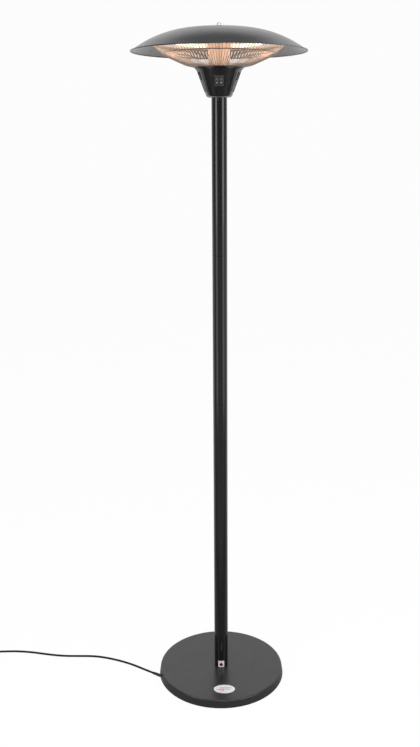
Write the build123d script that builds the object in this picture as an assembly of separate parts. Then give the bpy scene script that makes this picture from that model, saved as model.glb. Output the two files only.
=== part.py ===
from build123d import *
from math import atan, atan2, cos, degrees, hypot, pi, radians, sin, sqrt, tan
import os

# Infrared patio heater tower. Sizes in millimetres, angles in degrees.
# The origin is on the floor on the pole's axis, +Z is up and -Y is the front, with the switches.

# Fits
TUBE_FIT = 0.1          # radial gap of a tube that slides into another
SCREW_FIT = 0.15        # radial gap round a screw or bolt
CABLE_FIT = 0.05        # radial gap round a gripped cable
SEAT_GAP = 0.3          # gap of curved pieces that are welded or clipped
PANEL_GAP = 0.4         # gap round a panel inside its frame

# Base
FOOT_HEIGHT = 3.0
FOOT_RADIUS = 11.0
FOOT_INSET = 40.5       # from the base's lower edge to the feet's circle
FOOT_COUNT = 4
PLATE_THICKNESS = 1.5
BALLAST_INSET = 62.5
BALLAST_THICKNESS = 16.0
BALLAST_EDGE = 2.0
FLANGE_THICKNESS = 5.5
FLANGE_RADIUS = 55.0
BASE_WALL = 2.0
BASE_BOTTOM_RADIUS = 212.5
BASE_DRAFT = 4.0        # the side leans in by this much
BASE_EDGE_RADIUS = 3.5
SKIRT_LIFT = 1.5        # the skirt's lower edge above the floor
COVER_BOSS_RADIUS = 5.0
COVER_BOSS_INSET = 18.5
COVER_BOSS_COUNT = 6
COVER_SCREW_RADIUS = 1.75
COVER_SCREW_DEPTH = 12.0
COVER_SCREW_HEAD_RADIUS = 3.6
COVER_SCREW_HEAD_HEIGHT = 2.0
SOCKET_BOLT_CIRCLE = 40.0
SOCKET_BOLT_COUNT = 4
SOCKET_BOLT_RADIUS = 4.0
SOCKET_BOLT_HEAD_RADIUS = 6.5
SOCKET_BOLT_HEAD_HEIGHT = 5.0
SPIGOT_HEIGHT = 85.0
SPIGOT_WALL = 3.5
BADGE_LENGTH = 70.0
BADGE_WIDTH = 46.0
BADGE_THICKNESS = 0.6
BADGE_OFFSET = 10.0     # the badge sits a little to the right of the middle
BADGE_INSET = 61.5
BASE_TOP_RADIUS = BASE_BOTTOM_RADIUS - BASE_DRAFT
FOOT_CIRCLE = BASE_BOTTOM_RADIUS - FOOT_INSET
BALLAST_RADIUS = BASE_BOTTOM_RADIUS - BALLAST_INSET
COVER_BOSS_CIRCLE = BASE_TOP_RADIUS - COVER_BOSS_INSET
BADGE_DISTANCE = BASE_TOP_RADIUS - BADGE_INSET

# Pole
POLE_RADIUS = 23.0
POLE_WALL = 1.2
POLE_SECTION_LENGTH = 472.5
POLE_SECTION_COUNT = 4
POLE_EDGE = 0.5         # chamfer of each section's ends, which shows as a fine seam
SLEEVE_LENGTH = 90.0
SLEEVE_WALL = 1.4
LOCK_PLATE_WIDTH = 20.5
LOCK_PLATE_HEIGHT = 23.0
LOCK_PLATE_THICKNESS = 1.8
LOCK_PLATE_LIFT = 1.5   # above the base's top face
LOCK_SCREW_RADIUS = 3.0
LOCK_SCREW_HEAD_RADIUS = 5.0
LOCK_SCREW_HEAD_HEIGHT = 3.0
LOCK_SCREW_LENGTH = 9.0
LOCK_SCREW_SOCKET = 2.0
SCREW_HEAD_EDGE = 1.0

# Head socket, in the pole's top
HEAD_SPIGOT_LENGTH = 70.0
HEAD_SPIGOT_WALL = 2.0
HEAD_FLANGE_RADIUS = 33.0
HEAD_FLANGE_THICKNESS = 3.0
HEAD_SCREW_DROP = 5.5   # the small screw below the housing
HEAD_SCREW_RADIUS = 2.5
HEAD_SCREW_HEAD_RADIUS = 4.5
HEAD_SCREW_HEAD_HEIGHT = 2.4
HEAD_SCREW_LENGTH = 5.0
HEAD_SCREW_CROSS = 4.6
HEAD_SCREW_SLOT = 1.0
HEAD_SCREW_SLOT_DEPTH = 1.2
FLANGE_SCREW_COUNT = 3
FLANGE_SCREW_CIRCLE = 27.5
FLANGE_SCREW_RADIUS = 1.5
FLANGE_SCREW_HEAD_RADIUS = 3.0
FLANGE_SCREW_HEAD_HEIGHT = 1.8
FLANGE_SCREW_DEPTH = 6.0
FLANGE_BOSS_RADIUS = 3.5

# Switch housing
HOUSING_FLOOR = 2.5
HOUSING_BOSS_HEIGHT = 10.5
HOUSING_HEIGHT = 80.0
HOUSING_WALL = 2.5
HOUSING_FOOT_RADIUS = 36.3
HOUSING_MOUTH_RADIUS = 66.5
HOUSING_EDGE_RADIUS = 10.0
HOUSING_LIP_RADIUS = 68.0
HOUSING_LIP_HEIGHT = 3.0
VENT_WIDTH = 8.5
VENT_HEIGHT = 22.0
VENT_CORNER = 2.0
VENT_DROP = 10.0        # top of the vents below the housing's mouth
VENT_ANGLES = (23.5, 12.0, -12.0, -23.5)    # from each side, towards the front
RIB_COUNT = 36
RIB_DEPTH = 0.8
RIB_WIDTH = 2.2
RIB_SKIP = 18.0         # no ribs within this angle of the switches

# Switches
SWITCH_DROP = 36.0      # middle of the switches below the housing's mouth
BEZEL_WIDTH = 27.2
BEZEL_HEIGHT = 29.4
BEZEL_THICKNESS = 2.0
BEZEL_CORNER = 1.5
BEZEL_EDGE = 0.6
PAD_MARGIN = 1.2
PAD_STAND = 1.2         # the flat pad stands out of the cone at its middle
PAD_DEPTH = 14.0
SWITCH_SPACING = 12.0
ROCKER_WIDTH = 9.0
ROCKER_LENGTH = 19.6
ROCKER_RISE = 3.4
ROCKER_DEPTH = 5.0
ROCKER_TRAVEL = 16.0
ROCKER_EDGE = 0.8
ROCKER_SIDE_GAP = 0.25
ROCKER_END_GAP = 1.3
ROCKER_PIVOT_DEPTH = 2.6
PIVOT_RADIUS = 1.0
PIVOT_FIT = 0.05
PIVOT_LENGTH = 0.9
SWITCH_WALL = 1.1
SWITCH_DEPTH = 15.0
SWITCH_FLOOR = 3.0
SWITCH_TAB = (4.8, 0.8, 7.0)
SWITCH_LEAD_SPREAD = 7.0

# Parts inside the housing
STEM_RADIUS = 5.0
STEM_NUT_RADIUS = 9.0
STEM_NUT_HEIGHT = 6.0
STEM_END = 3.0          # past the lowest nut
BRACKET_Y = 19.5
BRACKET_WIDTH = 26.0
BRACKET_HEIGHT = 44.0
BRACKET_THICKNESS = 1.5
BRACKET_FOOT = 8.0
TERMINAL_LENGTH = 40.0
TERMINAL_DEPTH = 12.0
TERMINAL_HEIGHT = 16.0
TERMINAL_LIFT = 17.0
TERMINAL_WAYS = 4
TERMINAL_SLOT_WIDTH = 1.6
TERMINAL_SLOT_DEPTH = 2.0
TIP_SWITCH_WIDTH = 16.0
TIP_SWITCH_DEPTH = 12.0
TIP_SWITCH_HEIGHT = 22.0
TIP_SWITCH_CORNER = 1.5
CUTOUT_RADIUS = 8.0
CUTOUT_HEIGHT = 6.0
CUTOUT_PLACE = (-28.0, -8.0)
CUTOUT_TAB_OFFSET = 4.0
CUTOUT_TAB = (3.0, 0.8, 6.0)
SHIELD_RADIUS = 71.0
SHIELD_THICKNESS = 1.5
SHIELD_SCREW_CIRCLE = 55.0
SHIELD_SCREW_COUNT = 3
SHIELD_BOSS_LENGTH = 16.0
SHIELD_BOSS_RADIUS = 4.0
SHIELD_WEB = 4.0
SHIELD_SCREW_DEPTH = 10.0

# Heating head
COLUMN_RADIUS = 31.0
COLUMN_WALL = 1.0
COLUMN_FLANGE = 6.0
COLUMN_HEIGHT = 95.5
REFLECTOR_THICKNESS = 0.8
REFLECTOR_FLAT_RADIUS = 60.0
REFLECTOR_RADIUS = 196.0
REFLECTOR_DEPTH = 30.0
REFLECTOR_FLANGE = 7.0
DOME_GAP = 14.0         # from the reflector's flat middle to the dome's inside
DOME_THICKNESS = 0.8
DOME_RADIUS = 256.0
DOME_CROWN_RADIUS = 90.0        # where the flat crown turns into the shoulder
DOME_SKIRT_RADIUS = 228.0       # where the shoulder turns into the straight skirt
DOME_CROWN_SLOPE = 5.0
DOME_SKIRT_SLOPE = 31.0
DOME_HEM_RADIUS = 1.8
WASHER_RADIUS = 13.0
WASHER_THICKNESS = 1.5
CAP_NUT_RADIUS = 9.0
CAP_NUT_HEX_HEIGHT = 5.0
CAP_NUT_DOME_RADIUS = 7.0

# Lamps
LAMP_CIRCLE = 128.0
LAMP_DROP = 24.0        # below the reflector's flat middle
LAMP_ARC = 150.0
LAMP_RADIUS = 5.0
LAMP_WALL = 1.0
FILAMENT_RADIUS = 1.2
HOLDER_SIDE = 16.0
HOLDER_LENGTH = 26.0
HOLDER_GRIP = 6.0
HOLDER_CORNER = 1.5
HOLDER_LEAD_INSET = 4.0
STRAP_WIDTH = 10.0
STRAP_THICKNESS = 1.2
STRAP_OFFSET = 2.0
CLIP_WIDTH = 6.0
CLIP_THICKNESS = 1.0
LEAD_RADIUS = 1.3
LEAD_BEND = 4.0
LEAD_RISE = 3.0         # over the reflector
LEAD_ROWS = (7.0, 14.0) # of the rear and the front leads, from the middle

# Wire guard
GUARD_WIRE_COUNT = 120
GUARD_WIRE_RADIUS = 0.9
GUARD_RING_RADIUS = 1.5         # wire of the inner and the middle ring
GUARD_RIM_WIRE_RADIUS = 2.0
GUARD_INNER_RADIUS = 68.5
GUARD_KNEE_RADIUS = 99.0
GUARD_KNEE_RISE = 7.0
GUARD_BEND_RADIUS = 164.0
GUARD_BEND_RISE = 35.5
GUARD_WIRE_BEND = 30.0
GUARD_CLIP_COUNT = 4
GUARD_CLIP_WIDTH = 12.0
GUARD_CLIP_WALL = 1.0
GUARD_CLIP_OFFSET = 2.5         # outwards from the ring's middle

# Cord, gland and plug
CORD_RADIUS = 3.5
CORD_HEIGHT = 12.0
CORD_EXIT_ANGLE = 193.2        # where the cord leaves the skirt, from +X
CORD_HEADING = 148.0
CORD_LEAD = 28.0        # straight out of the gland
CORD_BEND_SHARE = 0.45
GLAND_NECK_RADIUS = 5.2
GLAND_FLANGE_RADIUS = 7.2
GLAND_FLANGE_THICKNESS = 3.0
GLAND_HALF_NECK = 12.0
GLAND_TAPER_LENGTH = 22.0
GLAND_TIP_RADIUS = 4.3
CLAMP_SETBACK = 34.0
CLAMP_WIDTH = 30.0
CLAMP_LENGTH = 10.0
CLAMP_HEIGHT = 13.0
CLAMP_SCREW_OFFSET = 10.5
CLAMP_SCREW_RADIUS = 2.0
CABLE_RUN = 61.4        # straight inwards from the skirt to the cable's turn
CABLE_TURN_RADIUS = 30.0
CABLE_OFFSET = 13.0     # the cable rises behind the pole's axis
CABLE_BEND = 16.0
CABLE_SLOT_WIDTH = 9.0
CABLE_SLOT_HEIGHT = 12.5
SPIGOT_CABLE_HOLE = 16.0
# The free cord's route from the gland to the coil, a list of points (x, y, z).
CORD_ROUTE = (
    (-303.0, 22.5, 7.0),
    (-345.0, 49.5, 4.0),
    (-395.0, 70.5, 3.6),
    (-448.0, 85.0, 3.6),
    (-505.0, 86.0, 3.6),
    (-563.0, 86.5, 3.7),
    (-621.0, 97.0, 3.6),
    (-679.0, 111.0, 3.6),
    (-737.0, 118.0, 3.7),
    (-795.0, 115.0, 4.2),
    (-840.0, 110.5, 5.1),
)
COIL_START = (-880.0, 110.0)
COIL_OUTER_RADIUS = 45.0
COIL_PITCH = 7.7
COIL_LAYER_PITCH = 7.7
COIL_INWARD_HALF_TURNS = 5
COIL_OUTWARD_HALF_TURNS = 4
COIL_TAIL = 36.0        # straight end of the coil, into the plug
TIE_THICKNESS = 1.2
TIE_WIDTH = 6.0
TIE_GAP = 0.3
TIE_FLOOR_GAP = 0.1
PLUG_RADIUS = 18.5
PLUG_HEIGHT = 30.0
PLUG_EDGE_RADIUS = 3.0
PLUG_NOSE_LENGTH = 26.0
PLUG_NOSE_RADIUS = 6.5
PLUG_NOSE_TIP_RADIUS = 5.0
PIN_RADIUS = 2.4
PIN_LENGTH = 19.0
PIN_SPACING = 19.0
PIN_ROOT = 5.0
PIN_EDGE_RADIUS = 1.5
PLUG_SINK = 4.0         # the nose's end runs this far into the body

# Heights that follow from the sizes above
PLATE_Z = FOOT_HEIGHT
BALLAST_Z = PLATE_Z + PLATE_THICKNESS
FLANGE_Z = BALLAST_Z + BALLAST_THICKNESS
POLE_Z = FLANGE_Z + FLANGE_THICKNESS
BASE_TOP_Z = POLE_Z + BASE_WALL
POLE_TOP_Z = POLE_Z + POLE_SECTION_COUNT * POLE_SECTION_LENGTH
POLE_BORE = POLE_RADIUS - POLE_WALL
HEAD_FLANGE_TOP_Z = POLE_TOP_Z + HEAD_FLANGE_THICKNESS
HOUSING_Z = POLE_TOP_Z - HOUSING_BOSS_HEIGHT - HOUSING_FLOOR
SHIELD_Z = HOUSING_Z + HOUSING_HEIGHT
SHIELD_TOP_Z = SHIELD_Z + SHIELD_THICKNESS
REFLECTOR_Z = SHIELD_TOP_Z + COLUMN_HEIGHT
DOME_TOP_Z = REFLECTOR_Z + DOME_GAP + DOME_THICKNESS
RIM_Z = REFLECTOR_Z - REFLECTOR_DEPTH
GUARD_RIM_Z = RIM_Z - GUARD_RIM_WIRE_RADIUS - SEAT_GAP / 2
GUARD_Z = SHIELD_TOP_Z + GUARD_RING_RADIUS
LAMP_Z = REFLECTOR_Z - LAMP_DROP
LOCK_Z = BASE_TOP_Z + LOCK_PLATE_LIFT + LOCK_PLATE_HEIGHT / 2
HEAD_SCREW_Z = HOUSING_Z - HEAD_SCREW_DROP
CONE_SLOPE = degrees(atan((HOUSING_MOUTH_RADIUS - HOUSING_FOOT_RADIUS) / HOUSING_HEIGHT))
COIL_Z = CORD_RADIUS + TIE_GAP + TIE_THICKNESS + TIE_FLOOR_GAP


# Shapes used by several pieces

def cylinder(radius, bottom, top, x=0.0, y=0.0):
    body = Cylinder(radius, top - bottom, align=(Align.CENTER, Align.CENTER, Align.MIN))
    return Pos(x, y, bottom) * body


def tube(outer, inner, bottom, top):
    return cylinder(outer, bottom, top) - cylinder(inner, bottom - 1, top + 1)


def block(low, high):
    size = [b - a for a, b in zip(low, high)]
    middle = [(a + b) / 2 for a, b in zip(low, high)]
    return Pos(*middle) * Box(*size)


def spun(*edges):
    """Turns a closed outline of edges, drawn with radius and height, about the pole's axis."""
    return revolve(Plane.XZ * make_face(Wire(edges)), Axis.Z)


def spun_polygon(*points):
    return revolve(Plane.XZ * make_face(Polyline(*points, close=True)), Axis.Z)


def cable(radius, points, radii):
    """A round cable along straight runs joined by tangent arcs."""
    path = FilletPolyline(*points, radius=radii)
    return sweep(Plane(path @ 0, z_dir=path % 0) * Circle(radius), path=path)


def circle_places(count, radius, first=0.0):
    """Places on a circle, each as its angle, x and y."""
    for index in range(count):
        angle = first + 360.0 * index / count
        yield angle, radius * cos(radians(angle)), radius * sin(radians(angle))


def around(piece, count, first=0.0):
    """Copies of a piece, turned about the pole's axis."""
    return [Rot(0, 0, first + 360.0 * index / count) * piece for index in range(count)]


def save(name, shape):
    """Writes one node, a single solid or a group of separate solids."""
    solids = shape if isinstance(shape, list) else [shape]
    solids = [solid for item in solids for solid in item.solids()]
    whole = solids[0] if len(solids) == 1 else Compound(children=solids)
    export_step(whole, "parts/" + name + ".step")


# Base

def skirt_radius(height, wall=0.0):
    """Radius of the base cover's drafted side at a height, less a wall."""
    share = (BASE_TOP_Z - height) / (BASE_TOP_Z - SKIRT_LIFT)
    return BASE_TOP_RADIUS + share * (BASE_BOTTOM_RADIUS - BASE_TOP_RADIUS) - wall


def cord_frame(distance):
    """A plane across the gland's axis, a distance outwards from the skirt."""
    radius = skirt_radius(CORD_HEIGHT)
    angle = radians(CORD_EXIT_ANGLE)
    leaves = Vector(radius * cos(angle), radius * sin(angle), CORD_HEIGHT)
    heading = Vector(cos(radians(CORD_HEADING)), sin(radians(CORD_HEADING)), 0)
    return Plane(leaves + heading * distance, z_dir=heading)


def along_cord(radius, start, end):
    body = Cylinder(radius, end - start, align=(Align.CENTER, Align.CENTER, Align.MIN))
    return cord_frame(start).location * body


def clamp_frame():
    """A frame at the cord clamp, with x across the cable and z up."""
    origin = cord_frame(-CLAMP_SETBACK).origin
    across = Vector(-sin(radians(CORD_HEADING)), cos(radians(CORD_HEADING)), 0)
    return Plane((origin.X, origin.Y, BALLAST_Z), x_dir=across, z_dir=(0, 0, 1))


def supply_cable():
    gland_end = cord_frame(GLAND_HALF_NECK + GLAND_TAPER_LENGTH).origin
    points = (
        tuple(gland_end),
        tuple(cord_frame(-CABLE_RUN).origin),
        (0, CABLE_OFFSET, CORD_HEIGHT),
        (0, CABLE_OFFSET, HEAD_FLANGE_TOP_Z + TERMINAL_LIFT),
    )
    return cable(CORD_RADIUS, points, (CABLE_TURN_RADIUS, CABLE_BEND))


def cable_slot():
    """The space that the supply cable takes on its way through the ballast."""
    turn = cord_frame(-CABLE_RUN).origin
    angle = atan2(CABLE_OFFSET - turn.Y, -turn.X)
    length = BALLAST_RADIUS + CABLE_OFFSET
    side = block((-2 * length, -CABLE_SLOT_WIDTH / 2, BALLAST_Z - 1),
                 (0, CABLE_SLOT_WIDTH / 2, BALLAST_Z + CABLE_SLOT_HEIGHT))
    return Pos(0, CABLE_OFFSET, 0) * Rot(0, 0, degrees(angle)) * side


def rubber_feet():
    return [cylinder(FOOT_RADIUS, 0, PLATE_Z, x, y)
            for _, x, y in circle_places(FOOT_COUNT, FOOT_CIRCLE, 45)]


def base_plate():
    plate = cylinder(skirt_radius(BALLAST_Z, BASE_WALL) - PANEL_GAP, PLATE_Z, BALLAST_Z)
    for _, x, y in circle_places(COVER_BOSS_COUNT, COVER_BOSS_CIRCLE):
        plate -= cylinder(COVER_SCREW_RADIUS + SCREW_FIT, 0, BASE_TOP_Z, x, y)
    return plate


def base_screws():
    screws = []
    for _, x, y in circle_places(COVER_BOSS_COUNT, COVER_BOSS_CIRCLE):
        head = cylinder(COVER_SCREW_HEAD_RADIUS, PLATE_Z - COVER_SCREW_HEAD_HEIGHT, PLATE_Z, x, y)
        shank = cylinder(COVER_SCREW_RADIUS, PLATE_Z, BALLAST_Z + COVER_SCREW_DEPTH, x, y)
        screws.append(head + shank)
    return screws


def base_weight():
    weight = cylinder(BALLAST_RADIUS, BALLAST_Z, FLANGE_Z)
    weight = chamfer(weight.edges().group_by(Axis.Z)[-1], BALLAST_EDGE)
    weight -= cylinder(CABLE_OFFSET + SPIGOT_CABLE_HOLE, BALLAST_Z - 1, FLANGE_Z + 1)
    weight -= cable_slot()
    for _, x, y in circle_places(SOCKET_BOLT_COUNT, SOCKET_BOLT_CIRCLE, 45):
        seat = BALLAST_Z + SOCKET_BOLT_HEAD_HEIGHT + PANEL_GAP
        weight -= cylinder(SOCKET_BOLT_HEAD_RADIUS + PANEL_GAP, BALLAST_Z - 1, seat, x, y)
        weight -= cylinder(SOCKET_BOLT_RADIUS + SCREW_FIT, BALLAST_Z, FLANGE_Z + 1, x, y)
    return weight


def pole_socket():
    socket = cylinder(FLANGE_RADIUS, FLANGE_Z, POLE_Z)
    spigot = POLE_BORE - TUBE_FIT
    socket += cylinder(spigot, POLE_Z, POLE_Z + SPIGOT_HEIGHT)
    socket = chamfer(socket.edges().group_by(Axis.Z)[-1], 1)
    socket -= cylinder(spigot - SPIGOT_WALL, FLANGE_Z - 1, POLE_Z + SPIGOT_HEIGHT + 1)
    for _, x, y in circle_places(SOCKET_BOLT_COUNT, SOCKET_BOLT_CIRCLE, 45):
        socket -= cylinder(SOCKET_BOLT_RADIUS + SCREW_FIT, FLANGE_Z - 1, POLE_Z + 1, x, y)
    socket -= front_hole(LOCK_SCREW_RADIUS + SCREW_FIT, LOCK_Z)
    return socket


def socket_bolts():
    bolts = []
    for _, x, y in circle_places(SOCKET_BOLT_COUNT, SOCKET_BOLT_CIRCLE, 45):
        seat = BALLAST_Z + SOCKET_BOLT_HEAD_HEIGHT + PANEL_GAP
        head = extrude(Pos(x, y, BALLAST_Z + PANEL_GAP) * RegularPolygon(SOCKET_BOLT_HEAD_RADIUS, 6),
                       SOCKET_BOLT_HEAD_HEIGHT)
        bolts.append(head + cylinder(SOCKET_BOLT_RADIUS, seat, POLE_Z, x, y))
    return bolts


def base_cover():
    top = BASE_TOP_Z - BASE_WALL
    outside = spun_polygon((0, SKIRT_LIFT), (BASE_BOTTOM_RADIUS, SKIRT_LIFT),
                           (BASE_TOP_RADIUS, BASE_TOP_Z), (0, BASE_TOP_Z))
    outside = fillet(outside.edges().group_by(Axis.Z)[-1], BASE_EDGE_RADIUS)
    inside = spun_polygon((0, SKIRT_LIFT - 1), (skirt_radius(SKIRT_LIFT - 1, BASE_WALL), SKIRT_LIFT - 1),
                          (skirt_radius(top, BASE_WALL), top), (0, top))
    inside = fillet(inside.edges().group_by(Axis.Z)[-1], BASE_EDGE_RADIUS - BASE_WALL)
    cover = outside - inside
    for _, x, y in circle_places(COVER_BOSS_COUNT, COVER_BOSS_CIRCLE):
        cover += cylinder(COVER_BOSS_RADIUS, BALLAST_Z, top + BASE_WALL / 2, x, y)
        cover -= cylinder(COVER_SCREW_RADIUS + SCREW_FIT / 3, BALLAST_Z - 1,
                          BALLAST_Z + COVER_SCREW_DEPTH + 1, x, y)
    cover -= cylinder(POLE_RADIUS + SEAT_GAP, top - 1, BASE_TOP_Z + 1)
    return cover - along_cord(GLAND_NECK_RADIUS + SCREW_FIT, -GLAND_HALF_NECK, GLAND_HALF_NECK)


def cable_gland():
    neck = along_cord(GLAND_NECK_RADIUS, -GLAND_HALF_NECK, GLAND_HALF_NECK)
    flange = along_cord(GLAND_FLANGE_RADIUS, -GLAND_HALF_NECK - GLAND_FLANGE_THICKNESS, -GLAND_HALF_NECK)
    taper = Cone(GLAND_NECK_RADIUS, GLAND_TIP_RADIUS, GLAND_TAPER_LENGTH,
                 align=(Align.CENTER, Align.CENTER, Align.MIN))
    gland = neck + flange + cord_frame(GLAND_HALF_NECK).location * taper
    end = GLAND_HALF_NECK + GLAND_TAPER_LENGTH
    return gland - along_cord(CORD_RADIUS + CABLE_FIT, -GLAND_HALF_NECK - GLAND_FLANGE_THICKNESS - 1, end + 1)


def cord_clamp():
    body = Box(CLAMP_WIDTH, CLAMP_LENGTH, CLAMP_HEIGHT, align=(Align.CENTER, Align.CENTER, Align.MIN))
    body = fillet(body.edges().filter_by(Axis.Y).group_by(Axis.Z)[-1], 2)
    for side in (-1, 1):
        body -= Pos(side * CLAMP_SCREW_OFFSET, 0, -1) * Cylinder(
            CLAMP_SCREW_RADIUS + SCREW_FIT, CLAMP_HEIGHT + 2, align=(Align.CENTER, Align.CENTER, Align.MIN))
    hole = along_cord(CORD_RADIUS + CABLE_FIT, -CLAMP_SETBACK - CLAMP_LENGTH, -CLAMP_SETBACK + CLAMP_LENGTH)
    return clamp_frame().location * body - hole


def cord_clamp_screws():
    screws = []
    for side in (-1, 1):
        shank = Cylinder(CLAMP_SCREW_RADIUS, CLAMP_HEIGHT, align=(Align.CENTER, Align.CENTER, Align.MIN))
        head = Cylinder(CLAMP_SCREW_RADIUS * 2, CLAMP_SCREW_RADIUS,
                        align=(Align.CENTER, Align.CENTER, Align.MIN))
        screw = shank + Pos(0, 0, CLAMP_HEIGHT) * head
        screws.append(clamp_frame().location * Pos(side * CLAMP_SCREW_OFFSET, 0, 0) * screw)
    return screws


def badge():
    oval = Ellipse(BADGE_LENGTH / 2, BADGE_WIDTH / 2)
    return extrude(Pos(BADGE_OFFSET, -BADGE_DISTANCE, BASE_TOP_Z) * oval, BADGE_THICKNESS)


# Pole

def front_hole(radius, height):
    """A hole through the front wall of a tube on the pole's axis."""
    return front_bar(radius, height, 0, POLE_RADIUS + 10)


def front_bar(radius, height, start, end):
    """A round bar towards the front, between two distances from the pole's axis."""
    bar = Cylinder(radius, end - start, align=(Align.CENTER, Align.CENTER, Align.MIN))
    return Plane((0, -start, height), z_dir=(0, -1, 0)).location * bar


def pole_section(index):
    bottom = POLE_Z + index * POLE_SECTION_LENGTH
    section = cylinder(POLE_RADIUS, bottom, bottom + POLE_SECTION_LENGTH)
    section = chamfer(section.edges().filter_by(GeomType.CIRCLE), POLE_EDGE)
    section -= cylinder(POLE_BORE, bottom - 1, bottom + POLE_SECTION_LENGTH + 1)
    if index == 0:
        section -= front_hole(LOCK_SCREW_RADIUS + SEAT_GAP, LOCK_Z)
    if index == POLE_SECTION_COUNT - 1:
        section -= front_hole(HEAD_SCREW_RADIUS + SEAT_GAP, HEAD_SCREW_Z)
    return section


def joint_sleeve(index):
    middle = POLE_Z + index * POLE_SECTION_LENGTH
    outer = POLE_BORE - TUBE_FIT
    return tube(outer, outer - SLEEVE_WALL, middle - SLEEVE_LENGTH / 2, middle + SLEEVE_LENGTH / 2)


def lock_plate():
    inner = POLE_RADIUS + CABLE_FIT
    low = LOCK_Z - LOCK_PLATE_HEIGHT / 2
    high = LOCK_Z + LOCK_PLATE_HEIGHT / 2
    saddle = tube(inner + LOCK_PLATE_THICKNESS, inner, low, high)
    saddle &= block((-LOCK_PLATE_WIDTH / 2, -POLE_RADIUS - 10, low), (LOCK_PLATE_WIDTH / 2, 0, high))
    return saddle - front_hole(LOCK_SCREW_RADIUS + SEAT_GAP, LOCK_Z)


def lock_screw():
    seat = POLE_RADIUS + CABLE_FIT + LOCK_PLATE_THICKNESS
    shank = front_bar(LOCK_SCREW_RADIUS, LOCK_Z, seat - LOCK_SCREW_LENGTH, seat)
    head = front_bar(LOCK_SCREW_HEAD_RADIUS, LOCK_Z, seat, seat + LOCK_SCREW_HEAD_HEIGHT)
    head = fillet(head.edges().group_by(Axis.Y)[0], SCREW_HEAD_EDGE)
    tip = seat + LOCK_SCREW_HEAD_HEIGHT
    hexagon = Plane((0, -tip, LOCK_Z), z_dir=(0, -1, 0)) * RegularPolygon(LOCK_SCREW_SOCKET, 6)
    return shank + head - extrude(hexagon, -LOCK_SCREW_SOCKET)


# Head socket

def head_socket():
    outer = POLE_BORE - TUBE_FIT
    socket = tube(outer, outer - HEAD_SPIGOT_WALL, POLE_TOP_Z - HEAD_SPIGOT_LENGTH, POLE_TOP_Z)
    flange = cylinder(HEAD_FLANGE_RADIUS, POLE_TOP_Z, HEAD_FLANGE_TOP_Z)
    flange -= cylinder(STEM_RADIUS + SCREW_FIT, POLE_TOP_Z - 1, HEAD_FLANGE_TOP_Z + 1)
    flange -= cylinder(CORD_RADIUS + SEAT_GAP, POLE_TOP_Z - 1, HEAD_FLANGE_TOP_Z + 1, 0, CABLE_OFFSET)
    for _, x, y in circle_places(FLANGE_SCREW_COUNT, FLANGE_SCREW_CIRCLE, 30):
        flange -= cylinder(FLANGE_SCREW_RADIUS + SCREW_FIT, POLE_TOP_Z - 1, HEAD_FLANGE_TOP_Z + 1, x, y)
    return socket + flange - front_hole(HEAD_SCREW_RADIUS + SCREW_FIT, HEAD_SCREW_Z)


def head_screw():
    seat = POLE_RADIUS + CABLE_FIT
    shank = front_bar(HEAD_SCREW_RADIUS, HEAD_SCREW_Z, seat - HEAD_SCREW_LENGTH, seat)
    tip = seat + HEAD_SCREW_HEAD_HEIGHT
    head = front_bar(HEAD_SCREW_HEAD_RADIUS, HEAD_SCREW_Z, seat, tip)
    head = fillet(head.edges().group_by(Axis.Y)[0], SCREW_HEAD_EDGE)
    for across, up in ((HEAD_SCREW_CROSS, HEAD_SCREW_SLOT), (HEAD_SCREW_SLOT, HEAD_SCREW_CROSS)):
        head -= block((-across / 2, -tip - 1, HEAD_SCREW_Z - up / 2),
                      (across / 2, HEAD_SCREW_SLOT_DEPTH - tip, HEAD_SCREW_Z + up / 2))
    return shank + head


def flange_screws():
    screws = []
    for _, x, y in circle_places(FLANGE_SCREW_COUNT, FLANGE_SCREW_CIRCLE, 30):
        shank = cylinder(FLANGE_SCREW_RADIUS, POLE_TOP_Z - FLANGE_SCREW_DEPTH, HEAD_FLANGE_TOP_Z, x, y)
        head = cylinder(FLANGE_SCREW_HEAD_RADIUS, HEAD_FLANGE_TOP_Z,
                        HEAD_FLANGE_TOP_Z + FLANGE_SCREW_HEAD_HEIGHT, x, y)
        screws.append(shank + head)
    return screws


# Switch housing

def cone_radius(height, wall=0.0):
    """Radius of the housing's cone at a height, less a wall measured across the axis."""
    share = (height - HOUSING_Z) / HOUSING_HEIGHT
    return HOUSING_FOOT_RADIUS + share * (HOUSING_MOUTH_RADIUS - HOUSING_FOOT_RADIUS) - wall


def switch_plane():
    """The flat pad's face: x to the right, y up the slope and z out of the housing."""
    height = SHIELD_Z - SWITCH_DROP
    slope = radians(CONE_SLOPE)
    outwards = Vector(0, -cos(slope), -sin(slope))
    middle = Vector(0, -cone_radius(height), height) + outwards * PAD_STAND
    return Plane(middle, x_dir=(1, 0, 0), z_dir=outwards)


def at_switch(piece):
    return switch_plane().location * piece


def cone_shell(wall, bottom, top):
    low = cone_radius(bottom, wall)
    high = cone_radius(top, wall)
    return spun_polygon((0, bottom), (low, bottom), (high, top), (0, top))


def switch_cut():
    width = 2 * (SWITCH_SPACING / 2 + ROCKER_WIDTH / 2 + ROCKER_SIDE_GAP + SWITCH_WALL + PANEL_GAP)
    length = ROCKER_LENGTH + 2 * (ROCKER_END_GAP + SWITCH_WALL + PANEL_GAP)
    return at_switch(Box(width, length, 4 * SWITCH_DEPTH))


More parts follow.
